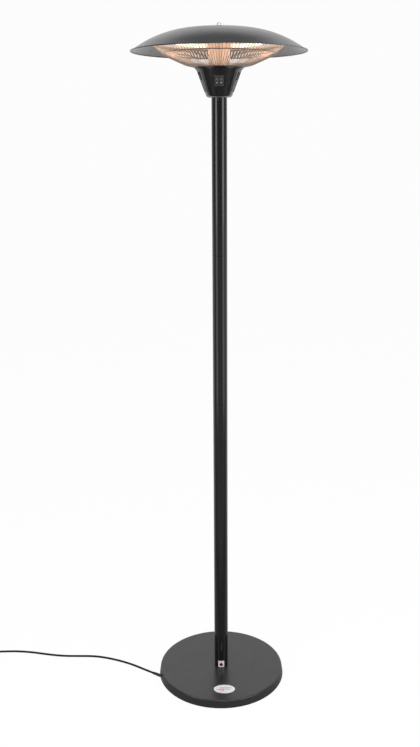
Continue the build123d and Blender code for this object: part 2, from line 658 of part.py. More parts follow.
def housing():
    shell = cone_shell(0, HOUSING_Z, SHIELD_Z)
    shell = fillet(shell.edges().group_by(Axis.Z)[0], HOUSING_EDGE_RADIUS)
    shell += cylinder(HOUSING_LIP_RADIUS, SHIELD_Z - HOUSING_LIP_HEIGHT, SHIELD_Z)
    pad = Box(BEZEL_WIDTH + 2 * PAD_MARGIN, BEZEL_HEIGHT + 2 * PAD_MARGIN, PAD_DEPTH,
              align=(Align.CENTER, Align.CENTER, Align.MAX))
    shell += at_switch(fillet(pad.edges().filter_by(Axis.Z), BEZEL_CORNER + PAD_MARGIN))
    inside = cone_shell(HOUSING_WALL, HOUSING_Z + HOUSING_FLOOR, SHIELD_Z + 1)
    inside = fillet(inside.edges().group_by(Axis.Z)[0], HOUSING_EDGE_RADIUS - HOUSING_WALL)
    shell -= inside
    shell -= switch_cut()
    shell -= cylinder(POLE_RADIUS + SEAT_GAP, HOUSING_Z - 1, HOUSING_Z + HOUSING_FLOOR + 1)
    shell += housing_ribs()
    shell -= housing_vents()
    floor = HOUSING_Z + HOUSING_FLOOR
    for _, x, y in circle_places(FLANGE_SCREW_COUNT, FLANGE_SCREW_CIRCLE, 30):
        shell += cylinder(FLANGE_BOSS_RADIUS, floor - 1, POLE_TOP_Z, x, y)
        shell -= cylinder(FLANGE_SCREW_RADIUS + SCREW_FIT / 3, floor, POLE_TOP_Z + 1, x, y)
    return shell + shield_bosses()


def housing_ribs():
    """Fine upright ribs round the cone, left out beside the switches."""
    ribs = []
    low = HOUSING_Z + 1.5 * HOUSING_EDGE_RADIUS
    high = SHIELD_Z - HOUSING_LIP_HEIGHT
    outline = Plane.XZ * make_face(Polyline(
        (cone_radius(low) - 1, low), (cone_radius(low) + RIB_DEPTH, low),
        (cone_radius(high) + RIB_DEPTH, high), (cone_radius(high) - 1, high), close=True))
    rib = extrude(outline, RIB_WIDTH / 2, both=True)
    for index in range(RIB_COUNT):
        angle = -90 + (index + 0.5) * 360 / RIB_COUNT
        if RIB_SKIP < (angle + 90) < 360 - RIB_SKIP:
            ribs.append(Rot(0, 0, angle) * rib)
    return ribs


def housing_vents():
    vents = []
    top = SHIELD_Z - VENT_DROP
    for side in (0, 180):
        for turn in VENT_ANGLES:
            slot = block((0, -VENT_WIDTH / 2, top - VENT_HEIGHT), (SHIELD_RADIUS, VENT_WIDTH / 2, top))
            slot = fillet(slot.edges().filter_by(Axis.X), VENT_CORNER)
            vents.append(Rot(0, 0, side + turn) * slot)
    return vents


def shield_bosses():
    """Blocks on the housing's inner wall that take the shield's screws."""
    bosses = []
    for angle, x, y in circle_places(SHIELD_SCREW_COUNT, SHIELD_SCREW_CIRCLE, 90):
        body = cylinder(SHIELD_BOSS_RADIUS, SHIELD_Z - SHIELD_BOSS_LENGTH, SHIELD_Z, x, y)
        web = block((SHIELD_SCREW_CIRCLE, -SHIELD_WEB / 2, SHIELD_Z - SHIELD_BOSS_LENGTH),
                    (HOUSING_MOUTH_RADIUS, SHIELD_WEB / 2, SHIELD_Z))
        boss = (body + Rot(0, 0, angle) * web) & cone_shell(1, HOUSING_Z, SHIELD_Z)
        depth = SHIELD_SCREW_DEPTH + 2
        hole = cylinder(FLANGE_SCREW_RADIUS + SCREW_FIT / 3, SHIELD_Z - depth, SHIELD_Z + 1, x, y)
        bosses.append(boss - hole)
    return bosses


# Switches

def switch_bezel():
    bezel = Box(BEZEL_WIDTH, BEZEL_HEIGHT, BEZEL_THICKNESS, align=(Align.CENTER, Align.CENTER, Align.MIN))
    bezel = fillet(bezel.edges().filter_by(Axis.Z), BEZEL_CORNER)
    bezel = fillet(bezel.edges().group_by(Axis.Z)[-1], BEZEL_EDGE)
    for side in (-1, 1):
        bezel -= Pos(side * SWITCH_SPACING / 2, 0, 0) * Box(
            ROCKER_WIDTH + 2 * ROCKER_SIDE_GAP, ROCKER_LENGTH + 2 * ROCKER_END_GAP, 4 * BEZEL_THICKNESS)
    return at_switch(bezel)


def switch_body(side):
    """An open box behind the bezel, with the rocker's pivot holes in its side walls."""
    hollow_width = ROCKER_WIDTH + 2 * ROCKER_SIDE_GAP
    hollow_length = ROCKER_LENGTH + 2 * ROCKER_END_GAP
    top = (Align.CENTER, Align.CENTER, Align.MAX)
    body = Box(hollow_width + 2 * SWITCH_WALL, hollow_length + 2 * SWITCH_WALL, SWITCH_DEPTH, align=top)
    body -= Box(hollow_width, hollow_length, SWITCH_DEPTH - SWITCH_FLOOR, align=top)
    pivot_hole = Cylinder(PIVOT_RADIUS + PIVOT_FIT, 2 * hollow_width)
    body -= Pos(0, 0, -ROCKER_PIVOT_DEPTH) * Rot(0, 90, 0) * pivot_hole
    for end in (-1, 0, 1):
        tab = Box(*SWITCH_TAB, align=top)
        body += Pos(0, end * hollow_length / 3, -SWITCH_DEPTH) * tab
    return at_switch(Pos(side * SWITCH_SPACING / 2, 0, 0) * body)


def rocker(side):
    """A rocker at rest with its upper end pressed in, which is its on position."""
    half = ROCKER_LENGTH / 2
    slope = half * tan(radians(ROCKER_TRAVEL / 2))
    pivot_z = -ROCKER_PIVOT_DEPTH
    outline = Polyline(
        (-half, ROCKER_RISE + slope), (0, ROCKER_RISE), (half, ROCKER_RISE + slope),
        (half, pivot_z), (half / 3, pivot_z - ROCKER_DEPTH), (-half / 3, pivot_z - ROCKER_DEPTH),
        (-half, pivot_z), close=True)
    body = extrude(Plane.YZ * make_face(outline), ROCKER_WIDTH / 2, both=True)
    body = fillet(body.edges().filter_by(Axis.X).group_by(Axis.Z)[-1], ROCKER_EDGE)
    pins = Pos(0, 0, pivot_z) * Rot(0, 90, 0) * Cylinder(PIVOT_RADIUS, ROCKER_WIDTH + 2 * PIVOT_LENGTH)
    turned = Pos(0, 0, pivot_z) * Rot(-ROCKER_TRAVEL / 2, 0, 0) * Pos(0, 0, -pivot_z) * (body + pins)
    return at_switch(Pos(side * SWITCH_SPACING / 2, 0, 0) * turned)


def switch_leads():
    leads = []
    terminal_z = HEAD_FLANGE_TOP_Z + TERMINAL_LIFT + TERMINAL_HEIGHT / 2
    front = BRACKET_Y - TERMINAL_DEPTH
    tab = SWITCH_TAB[2]
    for side in (-1, 1):
        x = side * SWITCH_SPACING / 2
        start = at_switch(Vertex(x, -ROCKER_LENGTH / 3, -SWITCH_DEPTH - tab)).center()
        back = at_switch(Vertex(x, -ROCKER_LENGTH / 3, -SWITCH_DEPTH - 2 * tab)).center()
        end_x = x + side * SWITCH_LEAD_SPREAD
        middle = (end_x, front - TERMINAL_DEPTH, terminal_z)
        end = (end_x, front, terminal_z)
        leads.append(cable(LEAD_RADIUS, (tuple(start), tuple(back), middle, end), (LEAD_BEND, LEAD_BEND)))
    return leads


# Parts inside the housing

def stem():
    top = DOME_TOP_Z + WASHER_THICKNESS + CAP_NUT_HEX_HEIGHT
    return cylinder(STEM_RADIUS, POLE_TOP_Z - STEM_NUT_HEIGHT - STEM_END, top)


def hex_nut(bottom):
    nut = extrude(Pos(0, 0, bottom) * RegularPolygon(STEM_NUT_RADIUS, 6), STEM_NUT_HEIGHT)
    return nut - cylinder(STEM_RADIUS + CABLE_FIT, bottom - 1, bottom + STEM_NUT_HEIGHT + 1)


def stem_nuts():
    bottoms = (POLE_TOP_Z - STEM_NUT_HEIGHT, HEAD_FLANGE_TOP_Z, REFLECTOR_Z + REFLECTOR_THICKNESS,
               DOME_TOP_Z - DOME_THICKNESS - STEM_NUT_HEIGHT - TUBE_FIT)
    return [hex_nut(bottom) for bottom in bottoms]


def bracket():
    low = HEAD_FLANGE_TOP_Z
    half = BRACKET_WIDTH / 2
    wall = block((-half, BRACKET_Y, low), (half, BRACKET_Y + BRACKET_THICKNESS, low + BRACKET_HEIGHT))
    foot = block((-half, BRACKET_Y, low), (half, BRACKET_Y + BRACKET_THICKNESS + BRACKET_FOOT,
                                          low + BRACKET_THICKNESS))
    return wall + foot


def terminal_block():
    low = HEAD_FLANGE_TOP_Z + TERMINAL_LIFT
    half = TERMINAL_LENGTH / 2
    body = block((-half, BRACKET_Y - TERMINAL_DEPTH, low), (half, BRACKET_Y, low + TERMINAL_HEIGHT))
    front = BRACKET_Y - TERMINAL_DEPTH
    for index in range(1, TERMINAL_WAYS):
        x = -half + index * TERMINAL_LENGTH / TERMINAL_WAYS
        body -= block((x - TERMINAL_SLOT_WIDTH / 2, front - 1, low - 1),
                      (x + TERMINAL_SLOT_WIDTH / 2, front + TERMINAL_SLOT_DEPTH, low + TERMINAL_HEIGHT + 1))
    return body


def tip_switch():
    low = HEAD_FLANGE_TOP_Z + TERMINAL_LIFT
    half = TIP_SWITCH_WIDTH / 2
    back = BRACKET_Y + BRACKET_THICKNESS
    body = block((-half, back, low), (half, back + TIP_SWITCH_DEPTH, low + TIP_SWITCH_HEIGHT))
    return fillet(body.edges().filter_by(Axis.Z), TIP_SWITCH_CORNER)


def thermal_cutout():
    x, y = CUTOUT_PLACE
    cap = cylinder(CUTOUT_RADIUS, SHIELD_Z - CUTOUT_HEIGHT, SHIELD_Z, x, y)
    tab = Box(*CUTOUT_TAB, align=(Align.CENTER, Align.CENTER, Align.MAX))
    for side in (-1, 1):
        cap += Pos(x + side * CUTOUT_TAB_OFFSET, y, SHIELD_Z - CUTOUT_HEIGHT) * tab
    return cap


def heat_shield():
    shield = cylinder(SHIELD_RADIUS, SHIELD_Z, SHIELD_TOP_Z)
    shield -= cylinder(STEM_RADIUS + SCREW_FIT, SHIELD_Z - 1, SHIELD_TOP_Z + 1)
    for x, y in lead_places():
        shield -= cylinder(LEAD_RADIUS + SEAT_GAP, SHIELD_Z - 1, SHIELD_TOP_Z + 1, x, y)
    for _, x, y in circle_places(SHIELD_SCREW_COUNT, SHIELD_SCREW_CIRCLE, 90):
        shield -= cylinder(FLANGE_SCREW_RADIUS + SCREW_FIT, SHIELD_Z - 1, SHIELD_TOP_Z + 1, x, y)
    return shield


def shield_screws():
    screws = []
    for _, x, y in circle_places(SHIELD_SCREW_COUNT, SHIELD_SCREW_CIRCLE, 90):
        shank = cylinder(FLANGE_SCREW_RADIUS, SHIELD_Z - SHIELD_SCREW_DEPTH, SHIELD_TOP_Z, x, y)
        head = cylinder(FLANGE_SCREW_HEAD_RADIUS, SHIELD_TOP_Z, SHIELD_TOP_Z + FLANGE_SCREW_HEAD_HEIGHT, x, y)
        screws.append(shank + head)
    return screws


# Heating head

def column():
    wall = tube(COLUMN_RADIUS, COLUMN_RADIUS - COLUMN_WALL, SHIELD_TOP_Z, REFLECTOR_Z)
    for bottom in (SHIELD_TOP_Z, REFLECTOR_Z - COLUMN_WALL):
        wall += tube(COLUMN_RADIUS, COLUMN_RADIUS - COLUMN_FLANGE, bottom, bottom + COLUMN_WALL)
    return wall


def reflector_radius():
    """Radius of the reflector's curve, level at its flat middle."""
    run = REFLECTOR_RADIUS - REFLECTOR_FLAT_RADIUS
    return (run ** 2 + REFLECTOR_DEPTH ** 2) / (2 * REFLECTOR_DEPTH)


def reflector_height(radius):
    """Height of the reflector's underside at a distance from the axis."""
    bend = reflector_radius()
    run = max(0, radius - REFLECTOR_FLAT_RADIUS)
    return REFLECTOR_Z - bend + sqrt(bend ** 2 - run ** 2)


def reflector():
    rise = REFLECTOR_THICKNESS
    middle = (REFLECTOR_FLAT_RADIUS + REFLECTOR_RADIUS) / 2
    edge = REFLECTOR_RADIUS + REFLECTOR_FLANGE
    low = [(0, REFLECTOR_Z), (REFLECTOR_FLAT_RADIUS, REFLECTOR_Z), (middle, reflector_height(middle)),
           (REFLECTOR_RADIUS, RIM_Z), (edge, RIM_Z)]
    high = [(r, z + rise) for r, z in low]
    dish = spun(
        Line(low[0], low[1]), ThreePointArc(low[1], low[2], low[3]), Line(low[3], low[4]),
        Line(low[4], high[4]), Line(high[4], high[3]), ThreePointArc(high[3], high[2], high[1]),
        Line(high[1], high[0]), Line(high[0], low[0]))
    dish -= cylinder(STEM_RADIUS + SCREW_FIT, REFLECTOR_Z - 1, REFLECTOR_Z + 3)
    for x, y in lead_places():
        dish -= cylinder(LEAD_RADIUS + SEAT_GAP, REFLECTOR_Z - 1, REFLECTOR_Z + 3, x, y)
    for turn in holder_turns():
        x, y = lead_drop(turn)
        dish -= cylinder(LEAD_RADIUS + 2 * SEAT_GAP, RIM_Z, REFLECTOR_Z + 3, x, y)
    return dish


def dome_outline(inset):
    """Points of the dome's curve, moved inwards by an inset: crown, shoulder and skirt."""
    crown = radians(DOME_CROWN_SLOPE)
    skirt = radians(DOME_SKIRT_SLOPE)
    crown_bend = DOME_CROWN_RADIUS / sin(crown)
    shoulder_bend = (DOME_SKIRT_RADIUS - DOME_CROWN_RADIUS) / (sin(skirt) - sin(crown))
    crown_z = DOME_TOP_Z - crown_bend
    shoulder_r = DOME_CROWN_RADIUS - shoulder_bend * sin(crown)
    shoulder_z = crown_z + (crown_bend - shoulder_bend) * cos(crown)

    def on_crown(angle):
        return (crown_bend - inset) * sin(angle), crown_z + (crown_bend - inset) * cos(angle)

    def on_shoulder(angle):
        bend = shoulder_bend - inset
        return shoulder_r + bend * sin(angle), shoulder_z + bend * cos(angle)

    end_r, end_z = on_shoulder(skirt)
    run = DOME_RADIUS - DOME_HEM_RADIUS - DOME_SKIRT_RADIUS
    tip = (end_r + run, end_z - run * tan(skirt))
    return [on_crown(0), on_crown(crown / 2), on_crown(crown),
            on_shoulder((crown + skirt) / 2), (end_r, end_z), tip]


def dome():
    out = dome_outline(0)
    inn = dome_outline(DOME_THICKNESS)
    shell = spun(
        ThreePointArc(out[0], out[1], out[2]), ThreePointArc(out[2], out[3], out[4]), Line(out[4], out[5]),
        Line(out[5], inn[5]), Line(inn[5], inn[4]), ThreePointArc(inn[4], inn[3], inn[2]),
        ThreePointArc(inn[2], inn[1], inn[0]), Line(inn[0], out[0]))
    tip_r, tip_z = out[5]
    hem = revolve(Plane.XZ * Pos(tip_r, tip_z - DOME_THICKNESS / 2) * Circle(DOME_HEM_RADIUS), Axis.Z)
    return shell + hem - cylinder(STEM_RADIUS + SCREW_FIT, DOME_TOP_Z - 5, DOME_TOP_Z + 5)


def dome_washer():
    return tube(WASHER_RADIUS, STEM_RADIUS + SCREW_FIT, DOME_TOP_Z, DOME_TOP_Z + WASHER_THICKNESS)


def cap_nut():
    bottom = DOME_TOP_Z + WASHER_THICKNESS
    nut = extrude(Pos(0, 0, bottom) * RegularPolygon(CAP_NUT_RADIUS, 6), CAP_NUT_HEX_HEIGHT)
    ball = Pos(0, 0, bottom + CAP_NUT_HEX_HEIGHT) * Sphere(CAP_NUT_DOME_RADIUS)
    nut += ball & block((-20, -20, bottom), (20, 20, bottom + 40))
    return nut - cylinder(STEM_RADIUS + CABLE_FIT, bottom - 1, bottom + CAP_NUT_HEX_HEIGHT + CABLE_FIT)


# Lamps

def holder_turns():
    """Angles of the four lamp ends, two at each gap between the lamps."""
    for middle in (180, 0):
        for side in (-1, 1):
            yield middle + side * LAMP_ARC / 2


def end_side(turn):
    """1 where the holder points on anticlockwise past the lamp's end, otherwise -1."""
    return 1 if turn in (180 + LAMP_ARC / 2, LAMP_ARC / 2) else -1


def holder_frame(turn):
    """A frame at a lamp's end, with x outwards and y along the holder, away from the lamp."""
    angle = radians(turn)
    along = Vector(-sin(angle), cos(angle), 0) * end_side(turn)
    place = Vector(LAMP_CIRCLE * cos(angle), LAMP_CIRCLE * sin(angle), LAMP_Z)
    outwards = along.cross(Vector(0, 0, 1))
    return Plane(place, x_dir=outwards, z_dir=(0, 0, 1))


def lead_drop(turn):
    """Where a lead comes down to its holder, past the middle of its top."""
    frame = holder_frame(turn)
    place = frame.origin + frame.y_dir * (HOLDER_LENGTH - HOLDER_GRIP - HOLDER_LEAD_INSET)
    return place.X, place.Y


def lead_places():
    """Where the leads rise through the column, one for each lamp end."""
    y = BRACKET_Y - TERMINAL_DEPTH / 2
    for turn in holder_turns():
        x, end_y = lead_drop(turn)
        spread = LEAD_ROWS[0] if end_y > 0 else LEAD_ROWS[1]
        yield (spread if x > 0 else -spread), y


def arc_bar(radius, middle, arc):
    """A round bar bent along the lamp's circle."""
    start = radians(middle - arc / 2)
    section = Plane((LAMP_CIRCLE * cos(start), LAMP_CIRCLE * sin(start), LAMP_Z),
                    x_dir=(cos(start), sin(start), 0), z_dir=(-sin(start), cos(start), 0))
    return revolve(section * Circle(radius), Axis((0, 0, LAMP_Z), (0, 0, 1)), arc)


def lamp(middle):
    return arc_bar(LAMP_RADIUS, middle, LAMP_ARC) - arc_bar(LAMP_RADIUS - LAMP_WALL, middle, LAMP_ARC)


def filament(middle):
    return arc_bar(FILAMENT_RADIUS, middle, LAMP_ARC)


def lamp_holders():
    holders = []
    for turn in holder_turns():
        body = Pos(0, HOLDER_LENGTH / 2 - HOLDER_GRIP, 0) * Box(HOLDER_SIDE, HOLDER_LENGTH, HOLDER_SIDE)
        body = fillet(body.edges().filter_by(Axis.Y), HOLDER_CORNER)
        body = holder_frame(turn).location * body
        middle = 180 if cos(radians(turn)) < 0 else 0
        holders.append(body - arc_bar(LAMP_RADIUS + SEAT_GAP, middle, LAMP_ARC))
    return holders


def lamp_straps():
    """Sheet straps from the reflector down to the flat tops of the ceramic holders."""
    straps = []
    for turn in holder_turns():
        frame = holder_frame(turn)
        x = frame.origin.X
        y = frame.origin.Y
        top = reflector_height(hypot(x, y) + STRAP_THICKNESS) - SEAT_GAP
        height = top - LAMP_Z - HOLDER_SIDE / 2
        strap = Box(STRAP_THICKNESS, STRAP_WIDTH, height, align=(Align.CENTER, Align.CENTER, Align.MIN))
        straps.append(frame.location * Pos(0, STRAP_OFFSET, HOLDER_SIDE / 2) * strap)
    return straps


def lamp_clips():
    """Rings round the middle of each lamp, hung from the reflector."""
    clips = []
    for turn in (0, 180):
        inner = LAMP_RADIUS + SEAT_GAP
        band = Cylinder(inner + CLIP_THICKNESS, CLIP_WIDTH) - Cylinder(inner, CLIP_WIDTH + 2)
        top = reflector_height(LAMP_CIRCLE + CLIP_THICKNESS) - SEAT_GAP - LAMP_Z
        tail = block((-CLIP_THICKNESS / 2, -CLIP_WIDTH / 2, inner + CLIP_THICKNESS / 2),
                     (CLIP_THICKNESS / 2, CLIP_WIDTH / 2, top))
        clips.append(Rot(0, 0, turn) * Pos(LAMP_CIRCLE, 0, LAMP_Z) * (Rot(90, 0, 0) * band + tail))
    return clips


def lamp_leads():
    """Wires from the terminal block up the column, over the reflector and down to the lamp ends."""
    leads = []
    bottom = HEAD_FLANGE_TOP_Z + TERMINAL_LIFT + TERMINAL_HEIGHT
    over = REFLECTOR_Z + REFLECTOR_THICKNESS + LEAD_RADIUS + LEAD_RISE
    for turn, (x, y) in zip(holder_turns(), lead_places()):
        end_x, end_y = lead_drop(turn)
        share = REFLECTOR_FLAT_RADIUS / hypot(end_x, end_y)
        edge = (x + share * (end_x - x), y + share * (end_y - y), over)
        low = reflector_height(hypot(end_x, end_y)) + REFLECTOR_THICKNESS + LEAD_RADIUS + LEAD_RISE
        points = ((x, y, bottom), (x, y, over), edge, (end_x, end_y, low),
                  (end_x, end_y, LAMP_Z + HOLDER_SIDE / 2))
        leads.append(cable(LEAD_RADIUS, points, (LEAD_BEND, 6 * LEAD_BEND, LEAD_BEND)))
    return leads


# Wire guard

def guard_route():
    """Corners of a guard wire as radius and height, from the inner ring to the outer one."""
    knee = (GUARD_KNEE_RADIUS, GUARD_Z + GUARD_KNEE_RISE)
    bend = (GUARD_BEND_RADIUS, GUARD_Z + GUARD_BEND_RISE)
    start = towards((GUARD_INNER_RADIUS, GUARD_Z), knee, GUARD_RING_RADIUS + SEAT_GAP)
    end = towards((REFLECTOR_RADIUS, GUARD_RIM_Z), bend, GUARD_RIM_WIRE_RADIUS + SEAT_GAP)
    return start, knee, bend, end


def towards(start, end, distance):
    """The point at a distance from one point on the line to another."""
    length = hypot(end[0] - start[0], end[1] - start[1])
    return tuple(a + (b - a) * distance / length for a, b in zip(start, end))


def guard_wires():
    points = [(r, 0, z) for r, z in guard_route()]
    wire = cable(GUARD_WIRE_RADIUS, points, (GUARD_WIRE_BEND, GUARD_WIRE_BEND))
    return around(wire, GUARD_WIRE_COUNT)


def ring(radius, height, wire_radius):
    return Pos(0, 0, height) * Torus(radius, wire_radius)


def guard_middle_ring():
    """A ring that lies in the bend of the wires, on their inside."""
    _, knee, bend, end = guard_route()
    slope = (atan2(bend[1] - knee[1], bend[0] - knee[0]) + atan2(end[1] - bend[1], end[0] - bend[0])) / 2
    turn = atan2(end[1] - bend[1], end[0] - bend[0]) - atan2(bend[1] - knee[1], bend[0] - knee[0])
    corner_cut = GUARD_WIRE_BEND * (1 / cos(turn / 2) - 1)
    stand = corner_cut + GUARD_WIRE_RADIUS + GUARD_RING_RADIUS + SEAT_GAP
    return ring(bend[0] - stand * sin(slope), bend[1] + stand * cos(slope), GUARD_RING_RADIUS)


def guard_clips():
    """Folded strips that hold the guard's outer ring up to the reflector's flange."""
    low = GUARD_RIM_Z - GUARD_RIM_WIRE_RADIUS - SEAT_GAP - GUARD_CLIP_WALL
    high = RIM_Z + REFLECTOR_THICKNESS + SEAT_GAP / 2 + GUARD_CLIP_WALL
    outer = REFLECTOR_RADIUS + REFLECTOR_FLANGE + SEAT_GAP + GUARD_CLIP_WALL
    inner = REFLECTOR_RADIUS + GUARD_CLIP_OFFSET
    half = GUARD_CLIP_WIDTH / 2
    strip = block((inner, -half, low), (outer, half, high))
    hollow = block((inner - 1, -half - 1, low + GUARD_CLIP_WALL),
                   (outer - GUARD_CLIP_WALL, half + 1, high - GUARD_CLIP_WALL))
    hook = block((REFLECTOR_RADIUS - 1, -half, low), (inner, half, low + GUARD_CLIP_WALL))
    return around(strip - hollow + hook, GUARD_CLIP_COUNT, 45)


# Cord, coil and plug

def cord_points():
    end = GLAND_HALF_NECK + GLAND_TAPER_LENGTH
    start = cord_frame(end).origin
    lead = cord_frame(end + CORD_LEAD).origin
    return [tuple(start), tuple(lead), *CORD_ROUTE, (*COIL_START, COIL_Z)]


def cord_radii(points):
    """The arc at each corner, whose tangents take a share of the shorter run beside it."""
    radii = []
    for before, corner, after in zip(points, points[1:], points[2:]):
        inward = Vector(*corner) - Vector(*before)
        outward = Vector(*after) - Vector(*corner)
        turn = radians(inward.get_angle(outward))
        radii.append(CORD_BEND_SHARE * min(inward.length, outward.length) / tan(turn / 2))
    return radii


def mains_cord():
    points = cord_points()
    radii = cord_radii(points)
    cord = cable(CORD_RADIUS, points, radii)
    runs = [(Vector(*b) - Vector(*a)).length for a, b in zip(points, points[1:])]
    print("cord runs", [round(run) for run in runs])
    print("cord radii", [round(radius) for radius in radii])
    length = FilletPolyline(*points, radius=radii).length
    print("cord length", round(length), "volume share", cord.volume / (pi * CORD_RADIUS ** 2 * length))
    return cord


def coil_frame():
    """The coil's own frame: it starts at its origin and runs on along x."""
    first, second = cord_points()[-2:]
    heading = Vector(second[0] - first[0], second[1] - first[1], 0)
    return Plane((*COIL_START, COIL_Z), x_dir=heading, z_dir=(0, 0, 1))


def coil_half_turns():
    """Radius, start height and end height of each half turn: inwards below, outwards above."""
    step = COIL_PITCH / 2
    count = COIL_INWARD_HALF_TURNS
    turns = [(COIL_OUTER_RADIUS - step * index, 0, 0) for index in range(count)]
    turns.append((COIL_OUTER_RADIUS - step * count, 0, COIL_LAYER_PITCH))
    for index in range(COIL_OUTWARD_HALF_TURNS):
        turns.append((COIL_OUTER_RADIUS - step * (count - 1 - index), COIL_LAYER_PITCH, COIL_LAYER_PITCH))
    return turns


def coil_path():
    lead = 2 * CORD_RADIUS
    edges = [Line((0, 0, 0), (lead, 0, 0))]
    x, y, side = lead, 0.0, 1
    for radius, low, high in coil_half_turns():
        bulge = hypot(radius, (high - low) / 2)
        middle = (x + side * bulge, y + side * radius, (low + high) / 2)
        end = (x, y + side * 2 * radius, high)
        edges.append(ThreePointArc((x, y, low), middle, end))
        y = end[1]
        side = -side
    edges.append(Line((x, y, high), (x + side * COIL_TAIL, y, high)))
    return Wire(edges)


def cord_coil():
    path = coil_path()
    coil = sweep(Plane(path @ 0, z_dir=path % 0) * Circle(CORD_RADIUS), path=path)
    count = 900
    points = [path @ (index / count) for index in range(count + 1)]
    skip = round(4 * CORD_RADIUS / path.length * count)
    gap = min((points[i] - points[j]).length for i in range(count) for j in range(i + skip, count + 1))
    print("coil length", round(path.length), "least gap to itself", round(gap - 2 * CORD_RADIUS, 2))
    print("coil volume share", coil.volume / (pi * CORD_RADIUS ** 2 * path.length))
    return coil_frame().location * coil


def coil_tie():
    """A strip round all the turns at one place, across the coil's far side."""
    radii = [radius for radius, _, _ in coil_half_turns()]
    outer = max(radii)
    inner = min(radii)
    gap = TIE_GAP + TIE_THICKNESS
    x = 2 * CORD_RADIUS
    high = COIL_LAYER_PITCH + CORD_RADIUS
    near = x + inner - COIL_PITCH - CORD_RADIUS
    far = x + outer + CORD_RADIUS
    y = outer
    half = TIE_WIDTH / 2
    band = block((near - gap, y - half, -CORD_RADIUS - gap), (far + gap, y + half, high + gap))
    band = fillet(band.edges().filter_by(Axis.Y), CORD_RADIUS)
    hole = block((near - TIE_GAP, y - half - 1, -CORD_RADIUS - TIE_GAP),
                 (far + TIE_GAP, y + half + 1, high + TIE_GAP))
    hole = fillet(hole.edges().filter_by(Axis.Y), CORD_RADIUS - TIE_THICKNESS)
    return coil_frame().location * (band - hole)


def plug_frame():
    """A frame on the floor where the coil's end enters the plug, with x on into the plug."""
    path = coil_path()
    end = path @ 1
    return coil_frame().location * Pos(end.X, end.Y, -COIL_Z)


def plug_body():
    entry = COIL_Z + COIL_LAYER_PITCH
    centre = PLUG_NOSE_LENGTH + PLUG_RADIUS - PLUG_SINK
    body = cylinder(PLUG_RADIUS, 0, PLUG_HEIGHT, centre)
    body = fillet(body.edges().group_by(Axis.Z)[0] + body.edges().group_by(Axis.Z)[-1], PLUG_EDGE_RADIUS)
    nose = Cone(PLUG_NOSE_TIP_RADIUS, PLUG_NOSE_RADIUS, PLUG_NOSE_LENGTH + PLUG_SINK,
                align=(Align.CENTER, Align.CENTER, Align.MIN))
    body += Pos(0, 0, entry) * Rot(0, 90, 0) * nose
    for side in (-1, 1):
        body -= Pos(centre, side * PIN_SPACING / 2, PLUG_HEIGHT - PIN_ROOT) * Cylinder(
            PIN_RADIUS + CABLE_FIT, PIN_ROOT + 1, align=(Align.CENTER, Align.CENTER, Align.MIN))
    return plug_frame() * body


def plug_pins():
    centre = PLUG_NOSE_LENGTH + PLUG_RADIUS - PLUG_SINK
    pins = []
    for side in (-1, 1):
        pin = Pos(centre, side * PIN_SPACING / 2, PLUG_HEIGHT - PIN_ROOT) * Cylinder(
            PIN_RADIUS, PIN_ROOT + PIN_LENGTH, align=(Align.CENTER, Align.CENTER, Align.MIN))
        pins.append(plug_frame() * fillet(pin.edges().group_by(Axis.Z)[-1], PIN_EDGE_RADIUS))
    return pins


# Every node of the heater

def main():
    os.makedirs("parts", exist_ok=True)
    save("rubber_feet", rubber_feet())
    save("base_plate", base_plate())
    save("base_screws", base_screws())
    save("base_weight", base_weight())
    save("pole_socket", pole_socket())
    save("socket_bolts", socket_bolts())
    save("base_cover", base_cover())
    save("cable_gland", cable_gland())
    save("cord_clamp", cord_clamp())
    save("cord_clamp_screws", cord_clamp_screws())
    save("supply_cable", supply_cable())
    save("badge", badge())
    for index in range(POLE_SECTION_COUNT):
        save(f"pole_section_{index + 1}", pole_section(index))
    save("joint_sleeves", [joint_sleeve(index) for index in range(1, POLE_SECTION_COUNT)])
    save("lock_plate", lock_plate())
    save("lock_screw", lock_screw())
    save("head_socket", head_socket())
    save("head_screw", head_screw())
    save("flange_screws", flange_screws())
    save("housing", housing())
    save("switch_bezel", switch_bezel())
    for name, side in (("left", -1), ("right", 1)):
        save("switch_body_" + name, switch_body(side))
        save("rocker_" + name, rocker(side))
    save("switch_leads", switch_leads())
    save("stem", stem())
    save("stem_nuts", stem_nuts())
    save("bracket", bracket())
    save("terminal_block", terminal_block())
    save("tip_switch", tip_switch())
    save("thermal_cutout", thermal_cutout())
    save("heat_shield", heat_shield())
    save("shield_screws", shield_screws())
    save("column", column())
    save("reflector", reflector())
    save("dome", dome())
    save("dome_washer", dome_washer())
    save("cap_nut", cap_nut())
    for name, middle in (("left", 180), ("right", 0)):
        save("lamp_" + name, lamp(middle))
    save("filaments", [filament(180), filament(0)])
    save("lamp_holders", lamp_holders())
    save("lamp_straps", lamp_straps())
    save("lamp_clips", lamp_clips())
    save("lamp_leads", lamp_leads())
    save("guard_wires", guard_wires())
    save("guard_inner_ring", ring(GUARD_INNER_RADIUS, GUARD_Z, GUARD_RING_RADIUS))
    save("guard_middle_ring", guard_middle_ring())
    save("guard_outer_ring", ring(REFLECTOR_RADIUS, GUARD_RIM_Z, GUARD_RIM_WIRE_RADIUS))
    save("guard_clips", guard_clips())
    save("mains_cord", mains_cord())
    save("cord_coil", cord_coil())
    save("coil_tie", coil_tie())
    save("plug_body", plug_body())
    save("plug_pins", plug_pins())


main()
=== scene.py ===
"""Looks of the infrared patio heater tower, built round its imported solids.

Lengths are in metres, angles in degrees. The origin is on the floor on the pole's axis, +Z is up and
-Y is the front, with the switches.
"""

